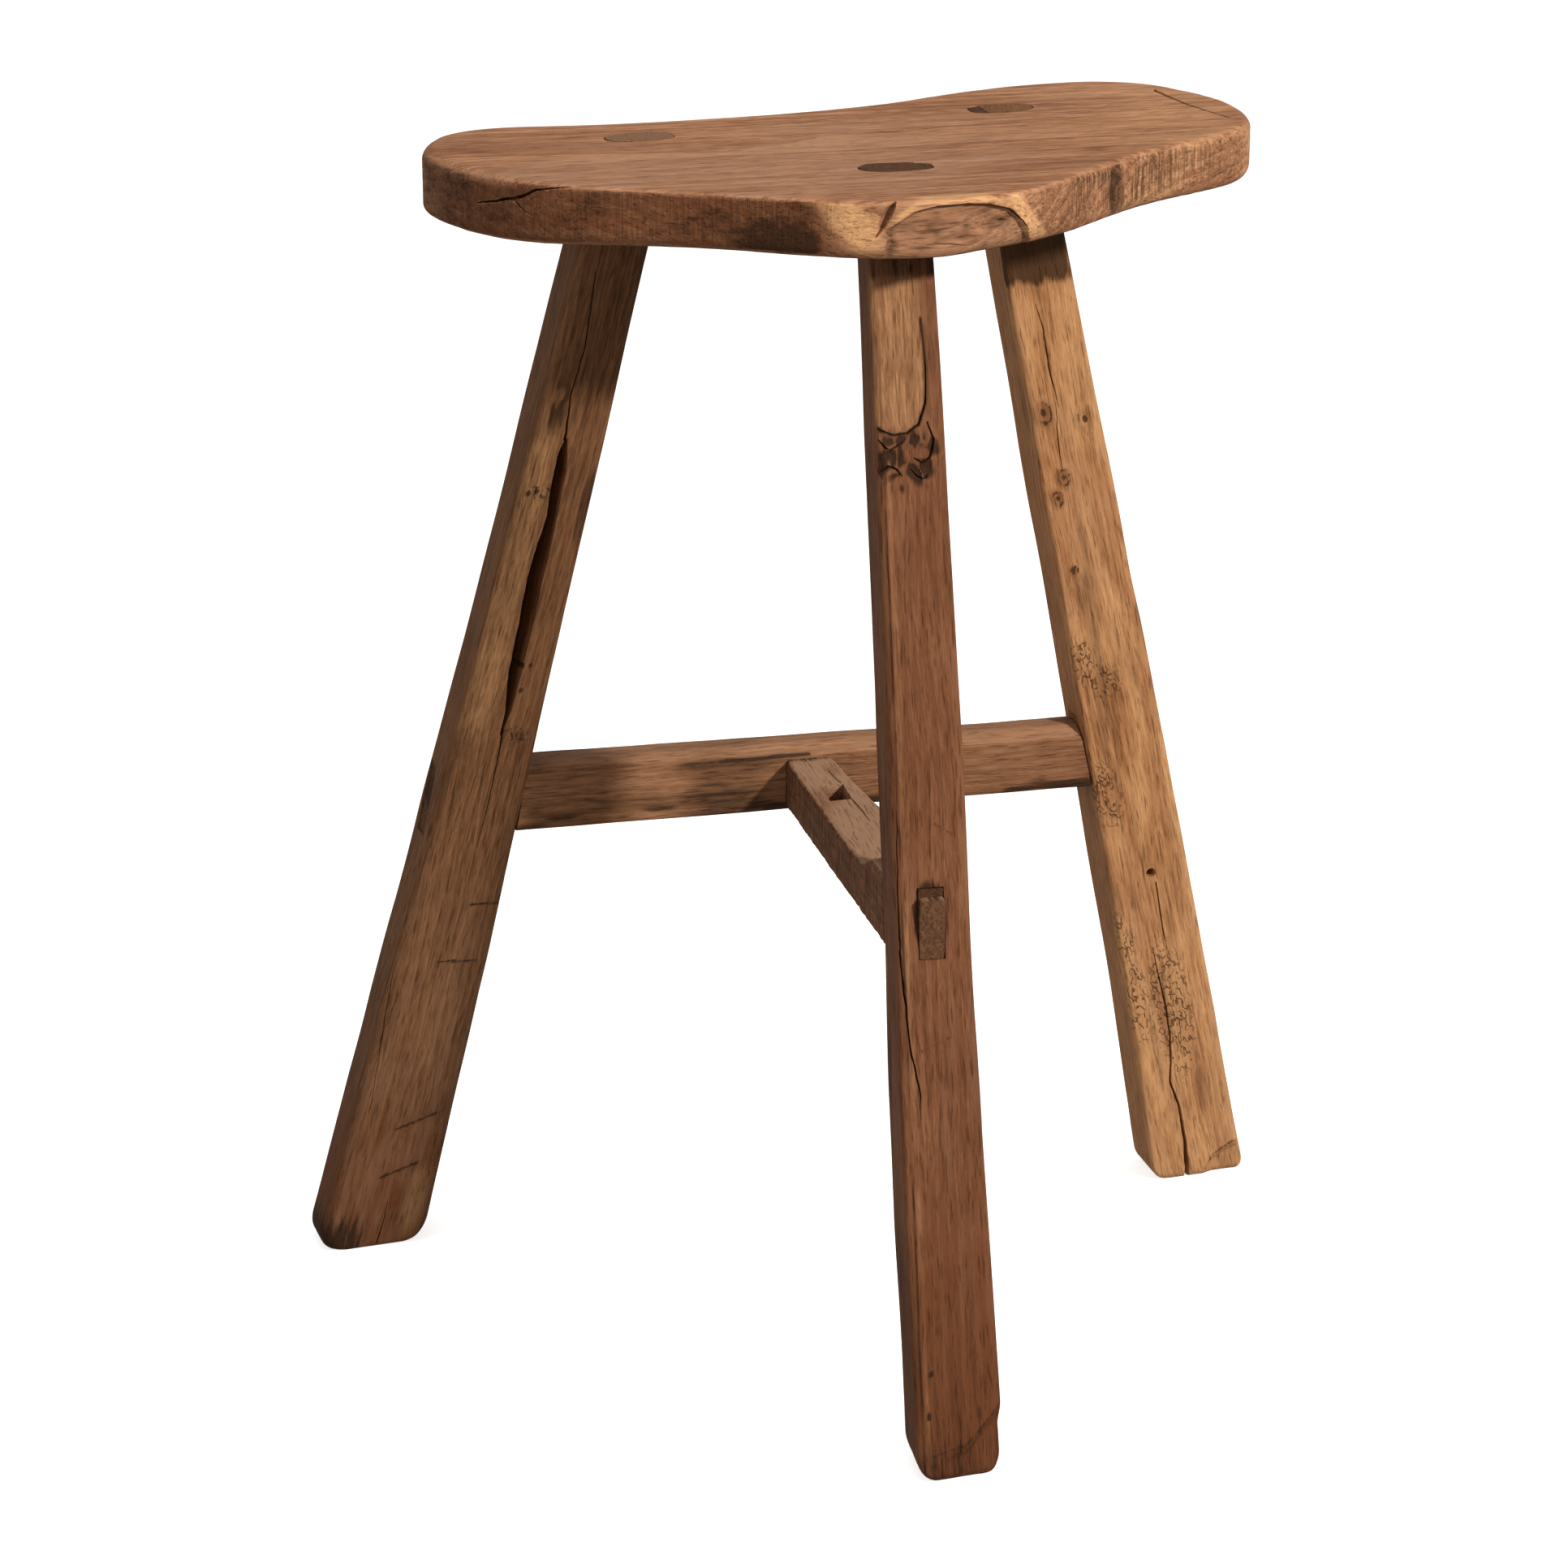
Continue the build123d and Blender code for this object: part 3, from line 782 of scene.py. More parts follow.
def front_marks(u, v, z, front):
    line = np.c_[u, v, z]
    rough = noise(line, (4, 9, 26), 312)
    fine = noise(line, (2.2, 2.2, 5), 313)
    knots = blob(u + 2.0 * fine, z + 3 * fine, -2, 396, 12, 11, 0.35)
    bead = u + leg_half(FRONT, z)[0]
    bead_line = smooth(0.9, 0.2, np.abs(bead - 2.6)) * smooth(-0.7, 0.1, rough)
    side = golden_side(u, z)
    stain_and_shade = most(
        front * knots * (0.30 + 0.85 * smooth(0.08, 0.42, np.abs(knot_lumps(line)))),
        0.7 * front * path_mask(u, z, KNOT_EDGE, 1.6),
        0.6 * front * path_mask(u, z, CHIP_EDGE, 1.5),
        0.30 * front * (0.5 + rough) * band(z, 20, 190, 25),
        front * (0.3 * smooth(120, 40, z) + 0.2 * smooth(24, 4, z)),
        0.30 + 0.25 * rough - 0.8 * front,
        0.65 * front * blob(u, z, -1.5, 221, 7, 15.5, 0.2),
        0.5 * front * path_mask(u, z, [(1.8, 258), (8, 254)], 1.6),
        0.5 * front * path_mask(u, z, [(-8, 171), (5, 176)], 1.0),
        0.6 * bead_line * smooth(470, 400, z) * (v < 0),
        # Painted shadow: the seat's shadow across the top of the front face, above z 458 to 464.
        front * (0.5 + 0.2 * rough) * smooth(458, 464, z + rough),
        0.8 * front * most(*(blob(u, z, *hole, 1.0, 1.6, 0.4) for hole in FRONT_HOLES)),
    )
    pale = most(
        front * side * (0.30 + 0.35 * noise(line, (5, 5, 16), 317)) * band(z, 404, 462, 6),
        0.2 * smooth(1.6, 0.4, np.abs(bead - 4.4)) * smooth(-0.5, 0.3, rough) * front,
    )
    return {
        "stain_and_shade": stain_and_shade,
        "pale": pale,
        "grey": 0.25 * front * band(z, 60, 240, 40) * smooth(-0.2, 0.6, rough),
        "red": front * (1 - side) * (0.42 + 0.3 * rough) + 0.95 * smooth(150, 30, z),
    }


# Knots (u, z, size), patches of beetle tracks (u, z, reach_u, reach_z) and the
# edge of the chipped foot (u, z) on the right leg's front face.
RIGHT_KNOTS = ((-5.9, 344, 2.4), (-10, 335, 2.1), (7.7, 369, 3.0), (-9.5, 373, 3.2), (-8.5, 302, 1.4))
RIGHT_TRACKS = (
    (-12, 259, 5, 12), (-12, 196, 7, 15), (-17, 126, 5, 12),
    (0, 88, 9, 34), (-15, 95, 5, 22), (-5, 250, 8, 8),
)
RIGHT_CHIP = [(2.1, 3.8), (7.6, 11), (17, 16), (21, 17)]


def right_relief(u, v, z, nu, nv):
    front = smooth(0.3, 0.9, -nv)
    inward = 0 * u
    for cu, cz, size in RIGHT_KNOTS:
        inward += 0.6 * front * blob(u, z, cu, cz, 0.5 * size, 0.8 * size)
        inward -= 0.5 * front * blob(u, z, cu, cz, 1.5 * size, 2.2 * size)
    edge = np.interp(u, (2.1, 7.6, 17), (3.8, 11, 16))
    inward += 1.8 * smooth(0, 4, edge - z) * front * smooth(1, 7, u)
    inner, outer = smooth(0.3, 0.9, -nu), smooth(0.3, 0.9, nu)
    inward += outer * (0.6 * smooth(330, 420, z) - 0.6 * band(z, 80, 200, 25) - 0.9 * band(z, 205, 285, 20))
    inward += inner * (0.4 * band(z, 70, 320, 30) - 0.7 * smooth(60, 10, z) - 0.5 * smooth(380, 440, z))
    return inward


def right_marks(u, v, z, front):
    line = np.c_[u, v, z]
    rough = noise(line, (4, 9, 30), 321)
    ring_gaps = smooth(-0.6, 0.3, noise(line, (1.5, 1.5, 2.5), 324))
    knots, knot_red = 0 * u, 0 * u
    for cu, cz, size in RIGHT_KNOTS:
        r = np.hypot(u - cu, (z - cz) / 1.4)
        ring = smooth(0.8, 0.2, np.abs(r - size)) * ring_gaps
        knots = most(knots, 0.85 * ring, 0.9 * smooth(0.6 * size, 0.25 * size, r))
        knot_red = most(knot_red, smooth(2.0 * size, 0.8 * size, r))
    tracked = front * most(*(blob(u + 2 * rough, z, *patch, 0.3) for patch in RIGHT_TRACKS))
    half_u = leg_half(RIGHT, z)[0]
    stain_and_shade = most(
        0.42 * front * smooth(0.0, 0.6, rough + 0.4 * blob(u, z, -4, 270, 9, 70, 0.7)),
        front * knots,
        0.28 * tracked,
        0.6 * front * smooth(7, 1, np.abs(z - 468)) * smooth(4, 9, u),
        (0.15 + 0.25 * rough) * smooth(0.6, 0.95, -u / half_u),
        0.2 + 0.25 * rough - 0.6 * front,
        # Painted shadow: the seat's shadow on the top of the front face, above z 424 to 433.
        front * (0.85 + 0.2 * rough) * smooth(424, 433, z + 2 * rough) * (z < SEAT_UNDER),
        0.6 * front * path_mask(u, z, RIGHT_CHIP, 1.3),
    )
    pale_streaks = noise(line, (7, 9, 45), 323) + 0.5 * band(z, 355, 425, 15) + 0.5 * smooth(190, 60, z)
    pale = most(
        0.55 * front * smooth(-0.1, 0.6, pale_streaks),
        0.65 * smooth(0.7, 0.95, u / half_u) * band(z, 60, 235, 20),
    )
    return {
        "stain_and_shade": stain_and_shade,
        "pale": pale,
        "grey": 0.25 * front * smooth(-0.2, 0.6, noise(line, (6, 9, 60), 322)),
        "red": front * most(0.8 * knot_red, 0.4 * smooth(0.1, 0.6, noise(line, (6, 9, 30), 325))),
        "track": 0.9 * tracked,
    }


def build_left_leg():
    split = [
        (-2, 379, 1.2), (-2, 372, 4.6), (-1.2, 365, 5.8), (-0.9, 356, 5.8), (0.0, 345, 5.0), (-0.4, 331, 7.0),
        (-0.7, 318, 7.5), (0.3, 298, 7.2), (0.6, 277, 6.4), (1.8, 259, 3.2), (0.9, 248, 0.5),
    ]
    above_split = [
        (-7, 450, 0.3), (-6.2, 443, 0.7), (-3.5, 418, 0.9),
        (-4.5, 398, 0.8), (-3.5, 388, 1.0), (-2.6, 378, 1.6),
    ]
    cutters = [
        upright_box("mortise", *grown(RAIL_BAR)),
        face_groove(LEFT, split, 14, 1, 0.08),
        face_groove(LEFT, above_split, 6, 2),
        face_groove(LEFT, [(-20.3, 192, 0.3), (-20.6, 171, 0.9), (-18.8, 116, 0.8), (-16, 73, 0.3)], 4, 3),
        face_groove(LEFT, [(1.6, 251, 1.2), (2.4, 236, 0.7), (3.0, 214, 0.6), (2.6, 196, 0.3)], 5, 4),
        face_groove(LEFT, [(2, 24, 0.3), (2.4, 14, 0.7), (1.6, 2, 0.9)], 4, 5),
    ]
    leg_piece(
        "left_leg", "leg_wood", LEFT, 1, cutters, left_relief, left_marks,
        corner=(7.0, 3.0, 2.6, 5.0), foot_round=(13, 4), pith=(26, 30), end_tone=0.3,
    )


def tie_wedge_room():
    """Room for the wedge above the front stretcher's tenon, from the leg's front face in."""
    face_y = face_centre(FRONT, TIE_BAR[1][2])[1]
    out_y, in_y = face_y - 4, face_y + TIE_WEDGE_LENGTH
    left, right = TIE_BAR[0][0] - JOINT_GAP, TIE_BAR[1][0] + JOINT_GAP
    plan = [(left, out_y), (right, out_y), (right, in_y), (left, in_y)]
    floor = [(*corner, 229) for corner in plan]
    roof = [(*corner, z) for corner, z in zip(plan, (234.6, 234.6, 230.9, 230.9))]
    return box_cutter("wedge_room", floor, roof)


def build_front_leg():
    long_crack = [
        (-12.7, 264, 0.4), (-13.8, 230, 0.9), (-14, 205, 1.1),
        (-12.1, 173, 1.0), (-9, 154, 0.8), (-9.5, 144, 0.3),
    ]
    knot_crack = np.c_[KNOT_EDGE, (0.2, 0.3, 0.8, 1.1, 1.4, 1.0, 1.3, 1.0)]
    hook = [(6.4, 409, 0.9), (8.6, 402, 1.6), (7.2, 396, 1.8), (3.4, 394, 1.4), (0.5, 396, 0.5)]
    cutters = [
        upright_box("mortise", *grown(TIE_BAR)),
        tie_wedge_room(),
        face_groove(FRONT, long_crack, 5, 6),
        face_groove(FRONT, knot_crack, 2.5, 21),
        face_groove(FRONT, [(-12.5, 403, 1.2), (-9, 399, 1.8), (-6.5, 400, 1.5), (-3, 402, 0.5)], 2.5, 22),
        face_groove(FRONT, hook, 3, 23),
        face_groove(FRONT, [(-12.5, 391, 0.8), (-9, 393.5, 1.4), (-6, 392, 1.5), (-4, 389, 0.4)], 2.5, 24),
        face_groove(FRONT, [(-1, 392, 0.5), (2, 388.5, 1.4), (4.5, 387.5, 1.2), (6, 390, 0.4)], 2.5, 25),
    ]
    leg_piece(
        "front_leg", "leg_wood_red", FRONT, 2, cutters, front_relief, front_marks,
        corner=(3.6, 3.2, 2.6, 2.8), foot_round=(11, 4), pith=(-22, 34), end_tone=0.85,
    )


def build_right_leg():
    foot_crack = [
        (-3.7, 120, 0.3), (-3.5, 108, 0.9), (-2.5, 91, 1.1), (-2.9, 75, 1.3), (-4.9, 60, 1.3),
        (-6.8, 51, 1.4), (-4.6, 39, 1.6), (-4.7, 19, 2.2), (-6.9, -3, 3.2),
    ]
    cutters = [
        upright_box("mortise", *grown(RAIL_BAR)),
        face_groove(RIGHT, [(-4.6, 420, 0.3), (-3.4, 411, 0.8), (-3.7, 390, 0.9), (-2.4, 375, 0.4)], 5, 7),
        face_groove(RIGHT, [(-3.5, 377, 0.4), (-5.3, 361, 0.8), (-6.1, 347, 0.4)], 4, 8),
        face_groove(RIGHT, [(3, 152, 0.9), (2.4, 127, 0.9), (2.8, 118, 0.3)], 5, 9),
        face_groove(RIGHT, foot_crack, 7, 10),
        worm_hole(RIGHT, 1.5, 156.5, radius=2.0, depth=12),
    ]
    leg_piece(
        "right_leg", "leg_wood_light", RIGHT, 3, cutters, right_relief, right_marks,
        corner=(2.6, 2.6, 2.6, 2.6), foot_round=(8, 4), pith=(34, 22), end_tone=0.9,
    )


def worm_hole(leg, u, z, radius, depth):
    """Round cutter square to the leg's front face."""
    turns = np.linspace(0, 2 * math.pi, 24, endpoint=False)
    at = face_path(leg, [(u, z)])[0]
    across, into = leg_axes(leg)[2:]
    up = np.cross(across, into)
    ring = np.cos(turns)[:, None] * across + np.sin(turns)[:, None] * up
    steps = ((-3, 1.3), (0, 1.12), (0.6, 1.0), (depth * 0.7, 0.95), (depth, 0.7))
    rings = np.stack([at + into * deep + ring * radius * share for deep, share in steps])
    return solid("worm_hole", rings, PLAIN_CAP)


build_left_leg()
build_front_leg()
build_right_leg()


# ---------------------------------------------------------------- stretchers
def side_x(leg, side, y, z):
    """x of the leg's left (-1) or right (1) face at y and z."""
    foot, rise, across, depth = leg_axes(leg)
    half = side * leg_half(leg, z)[0]
    deep = (y - foot[1] - z * rise[1] - across[1] * half) / depth[1]
    return foot[0] + z * rise[0] + across[0] * half + depth[0] * deep


def back_y(leg, x, z):
    """y of the leg's back face at x and z."""
    foot, rise, across, depth = leg_axes(leg)
    half = leg_half(leg, z)[1]
    along = (x - foot[0] - z * rise[0] - depth[0] * half) / across[0]
    return foot[1] + z * rise[1] + across[1] * along + depth[1] * half


def roughen(points, chosen, axis, amount, seed):
    """Makes the chosen points uneven along one axis, as a sawn end is."""
    points[chosen, axis] += amount * noise(points[chosen], (2.2, 2.2, 2.2), seed)


def rail_tenon(leg, side, seed):
    """Tenon at one end of the back stretcher; its end slopes with the leg's outer face."""
    rows, columns = 12, 64
    half_y, half_z = np.full(rows, RAIL_TENON_HALF), np.full(rows, 14.8)
    flat, _ = section(half_y, half_z, np.full((rows, 4), 0.7), columns)
    y = flat[..., 0] + RAIL_TENON_Y
    z = flat[..., 1] + RAIL_MID_Z
    outer = side_x(leg, side, y, z) - side * 0.3
    inner = side_x(leg, -side, y, z) + side * 0.5
    x = outer + np.linspace(0, 1, rows)[:, None] * (inner - outer)
    points, faces = tube(np.stack([x, y, z], -1), FINE_CAP)
    outer_cap = side * points[:, 0] > side * side_x(leg, side, points[:, 1], points[:, 2]) - 0.4
    roughen(points, outer_cap, 0, 0.2, seed)
    obj = make_mesh("tenon", points, faces)
    face_out(obj)
    return obj


RAIL_RUN = 316


def build_back_stretcher():
    rows, columns = 420, 144
    s = np.linspace(0, 1, rows)
    middle = (s - 0.5) * RAIL_RUN
    line = np.c_[middle, 0 * s, 0 * s]
    half_y = (RAIL_BACK_Y - RAIL_FRONT_Y) / 2 + 0.25 * noise(line, (60, 1, 1), 401)
    half_z = (RAIL_HIGH_Z - RAIL_LOW_Z) / 2 + 0.25 * noise(line, (70, 1, 1), 402)
    front_top = 2.6 + 5.4 * smooth(-150, -10, middle) + 0.8 * noise(line, (30, 1, 1), 403)
    radii = np.stack([1.8 + 0 * s, 1.8 + 0 * s, 4.5 + 0 * s, front_top], 1)
    flat, normal = section(half_y, half_z, radii, columns)
    y = flat[..., 0] + (RAIL_FRONT_Y + RAIL_BACK_Y) / 2
    z = flat[..., 1] + RAIL_MID_Z
    worn_top = (0.9 + 1.3 * smooth(10, 110, middle))[:, None] * smooth(-12, 14, flat[..., 1])
    z = z - worn_top - 0.7 * smooth(20, 120, middle)[:, None]
    left, right = side_x(LEFT, 1, y, z), side_x(RIGHT, -1, y, z)
    x = left + s[:, None] * (right - left)
    points = np.stack([x, y, z], -1).reshape(-1, 3)
    out = normal.reshape(-1, 2)
    inward = 0.28 * noise(points, (60, 26, 26), 404) + 0.14 * noise(points, (30, 6, 6), 405)
    inward += 0.07 * noise(points, (14, 1.6, 1.6), 406)
    inward += 0.5 * smooth(0.2, 0.8, out[:, 1]) * (1 - np.cos(2 * math.pi * s).repeat(columns)) * 0.5
    points[:, 1:] -= out * inward[:, None]
    body = solid("rail", points.reshape(rows, columns, 3))
    piece = join([body, rail_tenon(LEFT, -1, 407), rail_tenon(RIGHT, 1, 408)])

    p, n = read_points(piece), read_normals(piece)
    x, y, z = p.T
    rough = noise(p, (26, 9, 7), 411)
    top = smooth(0.25, 0.7, n[:, 2])
    stain_and_shade = most(
        # The first term fades out towards the left leg: painted light where the front leg's shadow falls on
        # the rail; it is darker just left of the front stretcher.
        smooth(-110, -60, x) * (0.12 + 0.25 * rough) + 0.42 * band(x, -50, -12, 12) - 0.25 * top,
        # Dark patch low on the left part: weathering, and partly a painted shadow of the front leg.
        0.45 * blob(x, z, -72, 212, 20, 7, 0.6) * (0.7 + 0.6 * rough),
        0.75 * smooth(142, 152, x) * smooth(214, 230, z),
        0.75 * smooth(214, 203, z) * smooth(-0.2, 0.5, rough),
        0.8 * smooth(-150, -157, x),
        # Painted shadow: a dark line under the rail's rounded top edge, over the front stretcher's end.
        0.8 * path_mask(x, z, [(-36, 225.3), (2, 226)], 1.6) * smooth(84, 80, y),
    )
    masks = {
        "stain_and_shade": stain_and_shade,
        "worn": 0.8 * top * smooth(-0.4, 0.3, noise(p, (40, 8, 8), 412)),
        "grey": 0.25 * top,
        "end": end_mask(p, n, (1, 0, 0)) * (np.abs(x) > 158),
        "red": 0.3 * (1 - top) * smooth(-20, 40, x),
    }
    finish_piece(piece, "back_stretcher", "stretcher_wood", np.c_[y - 60, z - 190, x + 4000], masks)


TIE_FRONT_Y = -74.0
TIE_RUN = 159.0
TIE_TENON_INNER_Y = -70.0
TIE_UNDER = 203
TIE_TOP = 224


def tie_cutters():
    """The disused mortise in the front stretcher's top, and the two cracks from it."""
    return [
        box_cutter(
            "old_mortise",
            [(0.2, 30.5, 211), (8.2, 30.5, 213), (8.6, 47, 213), (0.4, 47.4, 211)],
            [(-1, 29.5, 229), (9, 29.8, 229), (9.4, 48.3, 229), (-0.8, 48.7, 229)],
        ),
        groove([(6.5, 66, 224, 0.3), (7.0, 58, 224, 0.8), (8.6, 49, 224, 0.9)], (0, 0, -1), 4, 31),
        groove([(8.5, 30, 223.6, 0.9), (9.6, 18, 223.4, 0.8), (9.8, 4, 223.4, 0.3)], (0, 0, -1), 4, 32),
    ]


def tie_tenon():
    """The front stretcher's through tenon, standing a little proud of the front leg."""
    low, high = TIE_BAR
    rows, columns = 10, 64
    start = face_centre(FRONT, (low[2] + high[2]) / 2)[1] - 0.8
    half_x, half_z = np.full(rows, (high[0] - low[0]) / 2), np.full(rows, (high[2] - low[2]) / 2)
    flat, _ = section(half_x, half_z, np.full((rows, 4), 0.7), columns)
    y = np.broadcast_to(np.linspace(start, TIE_TENON_INNER_Y, rows)[:, None], flat.shape[:2])
    x = flat[..., 0] + (low[0] + high[0]) / 2
    z = flat[..., 1] + (low[2] + high[2]) / 2
    points, faces = tube(np.stack([x, y, z], -1), FINE_CAP)
    ends = (np.abs(points[:, 1] - start) < 0.1) | (np.abs(points[:, 1] - TIE_TENON_INNER_Y) < 0.1)
    roughen(points, ends, 1, 0.15, 425)
    obj = make_mesh("tenon", points, faces)
    face_out(obj)
    return obj


def build_front_stretcher():
    rows, columns = 300, 144
    s = np.linspace(0, 1, rows)
    y_mid = RAIL_FRONT_Y + s * (TIE_FRONT_Y - RAIL_FRONT_Y)
    forward = (RAIL_FRONT_Y - y_mid) / TIE_RUN
    bow = 3.0 * smooth(RAIL_FRONT_Y, 0, y_mid)
    centre_x = 2 + 7 * forward + bow / 2
    half_x = 10 + 3 * forward + bow / 2
    top_z = TIE_TOP + 7 * smooth(-40, -60, y_mid) - 0.7 * band(y_mid, -40, 60, 12)
    half_z = (top_z - TIE_UNDER) / 2
    centre_z = (top_z + TIE_UNDER) / 2
    line = np.c_[y_mid, 0 * s, 0 * s]
    worn_arris = 2.2 + 1.0 * noise(line, (22, 1, 1), 421)
    radii = np.stack([1.6 + 0 * s, 1.6 + 0 * s, worn_arris, worn_arris], 1)
    flat, normal = section(half_x, half_z, radii, columns)
    x = flat[..., 0] + centre_x[:, None]
    z = flat[..., 1] + centre_z[:, None]
    start = RAIL_FRONT_Y + JOINT_GAP
    y = start + s[:, None] * (back_y(FRONT, x, z) - start)
    points = np.stack([x, y, z], -1).reshape(-1, 3)
    out = normal.reshape(-1, 2)
    flank = smooth(0.4, 0.9, np.abs(out[:, 0]))
    inward = 0.25 * noise(points, (26, 50, 26), 422) + 0.10 * noise(points, (5, 24, 5), 423)
    inward += 0.30 * flank * noise(points, (9, 1.7, 14), 424)
    points[:, 0] -= out[:, 0] * inward
    points[:, 2] -= out[:, 1] * inward
    body = solid("tie", points.reshape(rows, columns, 3))
    cut(body, tie_cutters())
    piece = join([body, tie_tenon()])

    p, n = read_points(piece), read_normals(piece)
    x, y, z = p.T
    rough = noise(p, (7, 24, 7), 431)
    marks = noise(p, (9, 1.3, 16), 432)
    top = smooth(0.5, 0.85, n[:, 2])
    side = smooth(0.5, 0.85, np.abs(n[:, 0]))
    stain_and_shade = most(
        side * (0.08 + 0.3 * marks + 0.2 * rough) + 0.25 * (1 - side) * smooth(0.1, 0.7, rough),
        # Painted shade in the last 7 mm where the stretcher meets the back rail; the dark end past the leg is
        # end grain.
        0.6 * smooth(72, 79, y) + 0.5 * smooth(-84, -86, y),
    )
    masks = {
        "stain_and_shade": stain_and_shade,
        "grey": top * smooth(-0.8, 0.0, noise(p, (9, 30, 9), 433)),
        "worn": 0.35 * top,
        "end": 0.55 * end_mask(p, n, (0, 1, 0)) * (y < -85),
        "saw": 0.8 * side,
        "red": 0.5 * side,
    }
    finish_piece(piece, "front_stretcher", "stretcher_wood", np.c_[x + 34, z - 190, y + 5000], masks)


build_back_stretcher()
build_front_stretcher()


# -------------------------------------------------------------------- wedges
def finish_wedge(node, obj, along, seed, faint=0.0):
    """Gives a wedge its looks; along is its grain's direction, faint how pale it is."""
    p, n = read_points(obj), read_normals(obj)
    stain_and_shade = 0.45 + 0.35 * noise(p, (4, 4, 4), seed) - 0.5 * faint
    masks = {"stain_and_shade": stain_and_shade, "grey": faint + 0 * stain_and_shade, "end": (0.7 - 0.5 * faint) * end_mask(p, n, along)}
    order = np.argsort(-np.abs(np.asarray(along, float)))
    grain = np.c_[p[:, order[1]] + 9, p[:, order[2]] + 12, p[:, order[0]] + 900 * seed]
    finish_piece(obj, node, "wedge_wood", grain, masks)


def build_seat_wedges():
    for leg, node, seed in (
        (LEFT, "seat_wedge_left", 51),
        (RIGHT, "seat_wedge_right", 52),
        (FRONT, "seat_wedge_front", 53),
    ):
        tip, head = wedge_spans(leg)
        low, corners = SEAT_TOP - WEDGE_LENGTH, by_side(leg, WEDGE_ROUND)
        obj = post(leg, tip, head, TENON_HALF - 0.4, low, SEAT_TOP, seed, corners, sunk=0.5)
        finish_wedge(node, obj, (0, 0, 1), seed, faint=0.85 * (leg is LEFT))


def build_tie_wedge():
    rows, columns = 14, 64
    s = np.linspace(0, 1, rows)
    height = TIE_WEDGE_HEAD + (TIE_WEDGE_TIP - TIE_WEDGE_HEAD) * s
    radii = np.minimum(0.5, height * 0.3)[:, None] * np.ones(4)
    flat, _ = section(np.full(rows, 4.8), height / 2, radii, columns)
    face_y = face_centre(FRONT, TIE_BAR[1][2])[1]
    rings = np.zeros((rows, columns, 3))
    rings[..., 0] = TIE_WEDGE_X + flat[..., 0]
    rings[..., 1] = (face_y + 0.3 + s * (TIE_WEDGE_LENGTH - 0.5))[:, None]
    rings[..., 2] = TIE_BAR[1][2] + 0.1 + (height / 2)[:, None] + flat[..., 1]
    obj = solid("wedge", rings, (0.97, 0.85, 0.7, 0.5, 0.3))
    finish_wedge("front_tenon_wedge", obj, (0, 1, 0), 54)


build_seat_wedges()
build_tie_wedge()


# ---------------------------------------------------------------------- seat
# The plank's outline: knots of a smooth closed curve, anticlockwise.
SEAT_OUTLINE = [
    (-160, 33), (-154, 5), (-118, -38), (-62, -66), (-14, -90), (40, -86), (82, -53), (122, -22), (158, 4),
    (167, 32), (160, 70), (140, 95), (106, 101), (70, 93), (22, 75), (-32, 67), (-98, 66), (-148, 60),
]
SEAT_MIDDLE = (12.0, 6.0)
RIM = 12.0


def closed_curve(knots, places=400):
    """Periodic cubic spline through the knots, with places points a knot."""
    knots = np.asarray(knots, float)
    count = len(knots)
    ahead = np.roll(knots, -1, 0) - knots
    after = np.linalg.norm(ahead, axis=1)
    behind, before = np.roll(ahead, 1, 0), np.roll(after, 1)
    system = np.zeros((count, count))
    for k in range(count):
        system[k, [k - 1, k, (k + 1) % count]] = after[k], 2 * (before[k] + after[k]), before[k]
    right = 3 * (behind * (after / before)[:, None] + ahead * (before / after)[:, None])
    slope = np.linalg.solve(system, right)
    t = np.linspace(0, 1, places, endpoint=False)[:, None]
    parts = []
    for k in range(count):
        m = (k + 1) % count
        part = (2 * t**3 - 3 * t**2 + 1) * knots[k] + (3 * t**2 - 2 * t**3) * knots[m]
        parts.append(part + after[k] * ((t**3 - 2 * t**2 + t) * slope[k] + (t**3 - t**2) * slope[m]))
    return np.concatenate(parts)


def seat_ring(columns):
    """Outline points, closer together along the front nose, and their outward normals."""
    curve = closed_curve(SEAT_OUTLINE)
    loop = np.concatenate([curve, curve[:1]])
    step = np.linalg.norm(np.diff(loop, axis=0), axis=1)
    weight = 1 + 0.9 * (curve[:, 1] < -55) * band(curve[:, 0], -40, 75, 15)
    run = np.r_[0, np.cumsum(step * weight)]
    at = np.linspace(0, run[-1], columns, endpoint=False)
    ring = np.stack([np.interp(at, run, loop[:, k]) for k in (0, 1)], 1)
    tangent = np.roll(ring, -1, 0) - np.roll(ring, 1, 0)
    tangent /= np.linalg.norm(tangent, axis=1)[:, None]
    return ring, np.c_[tangent[:, 1], -tangent[:, 0]]


# Upper edge of the broken pocket in the nose: x and z of its points.
SCAR_EDGE = ((-9, 1, 9, 21, 29.5, 39, 46, 48), (490, 496.5, 498.4, 498.6, 497.5, 494.5, 487, 480))


def scar_mask(x, z):
    """1 inside the broken pocket in the nose."""
    edge = np.interp(x, *SCAR_EDGE)
    return smooth(0, 1.5, edge - z) * band(x, -9, 47.5, 1.0)


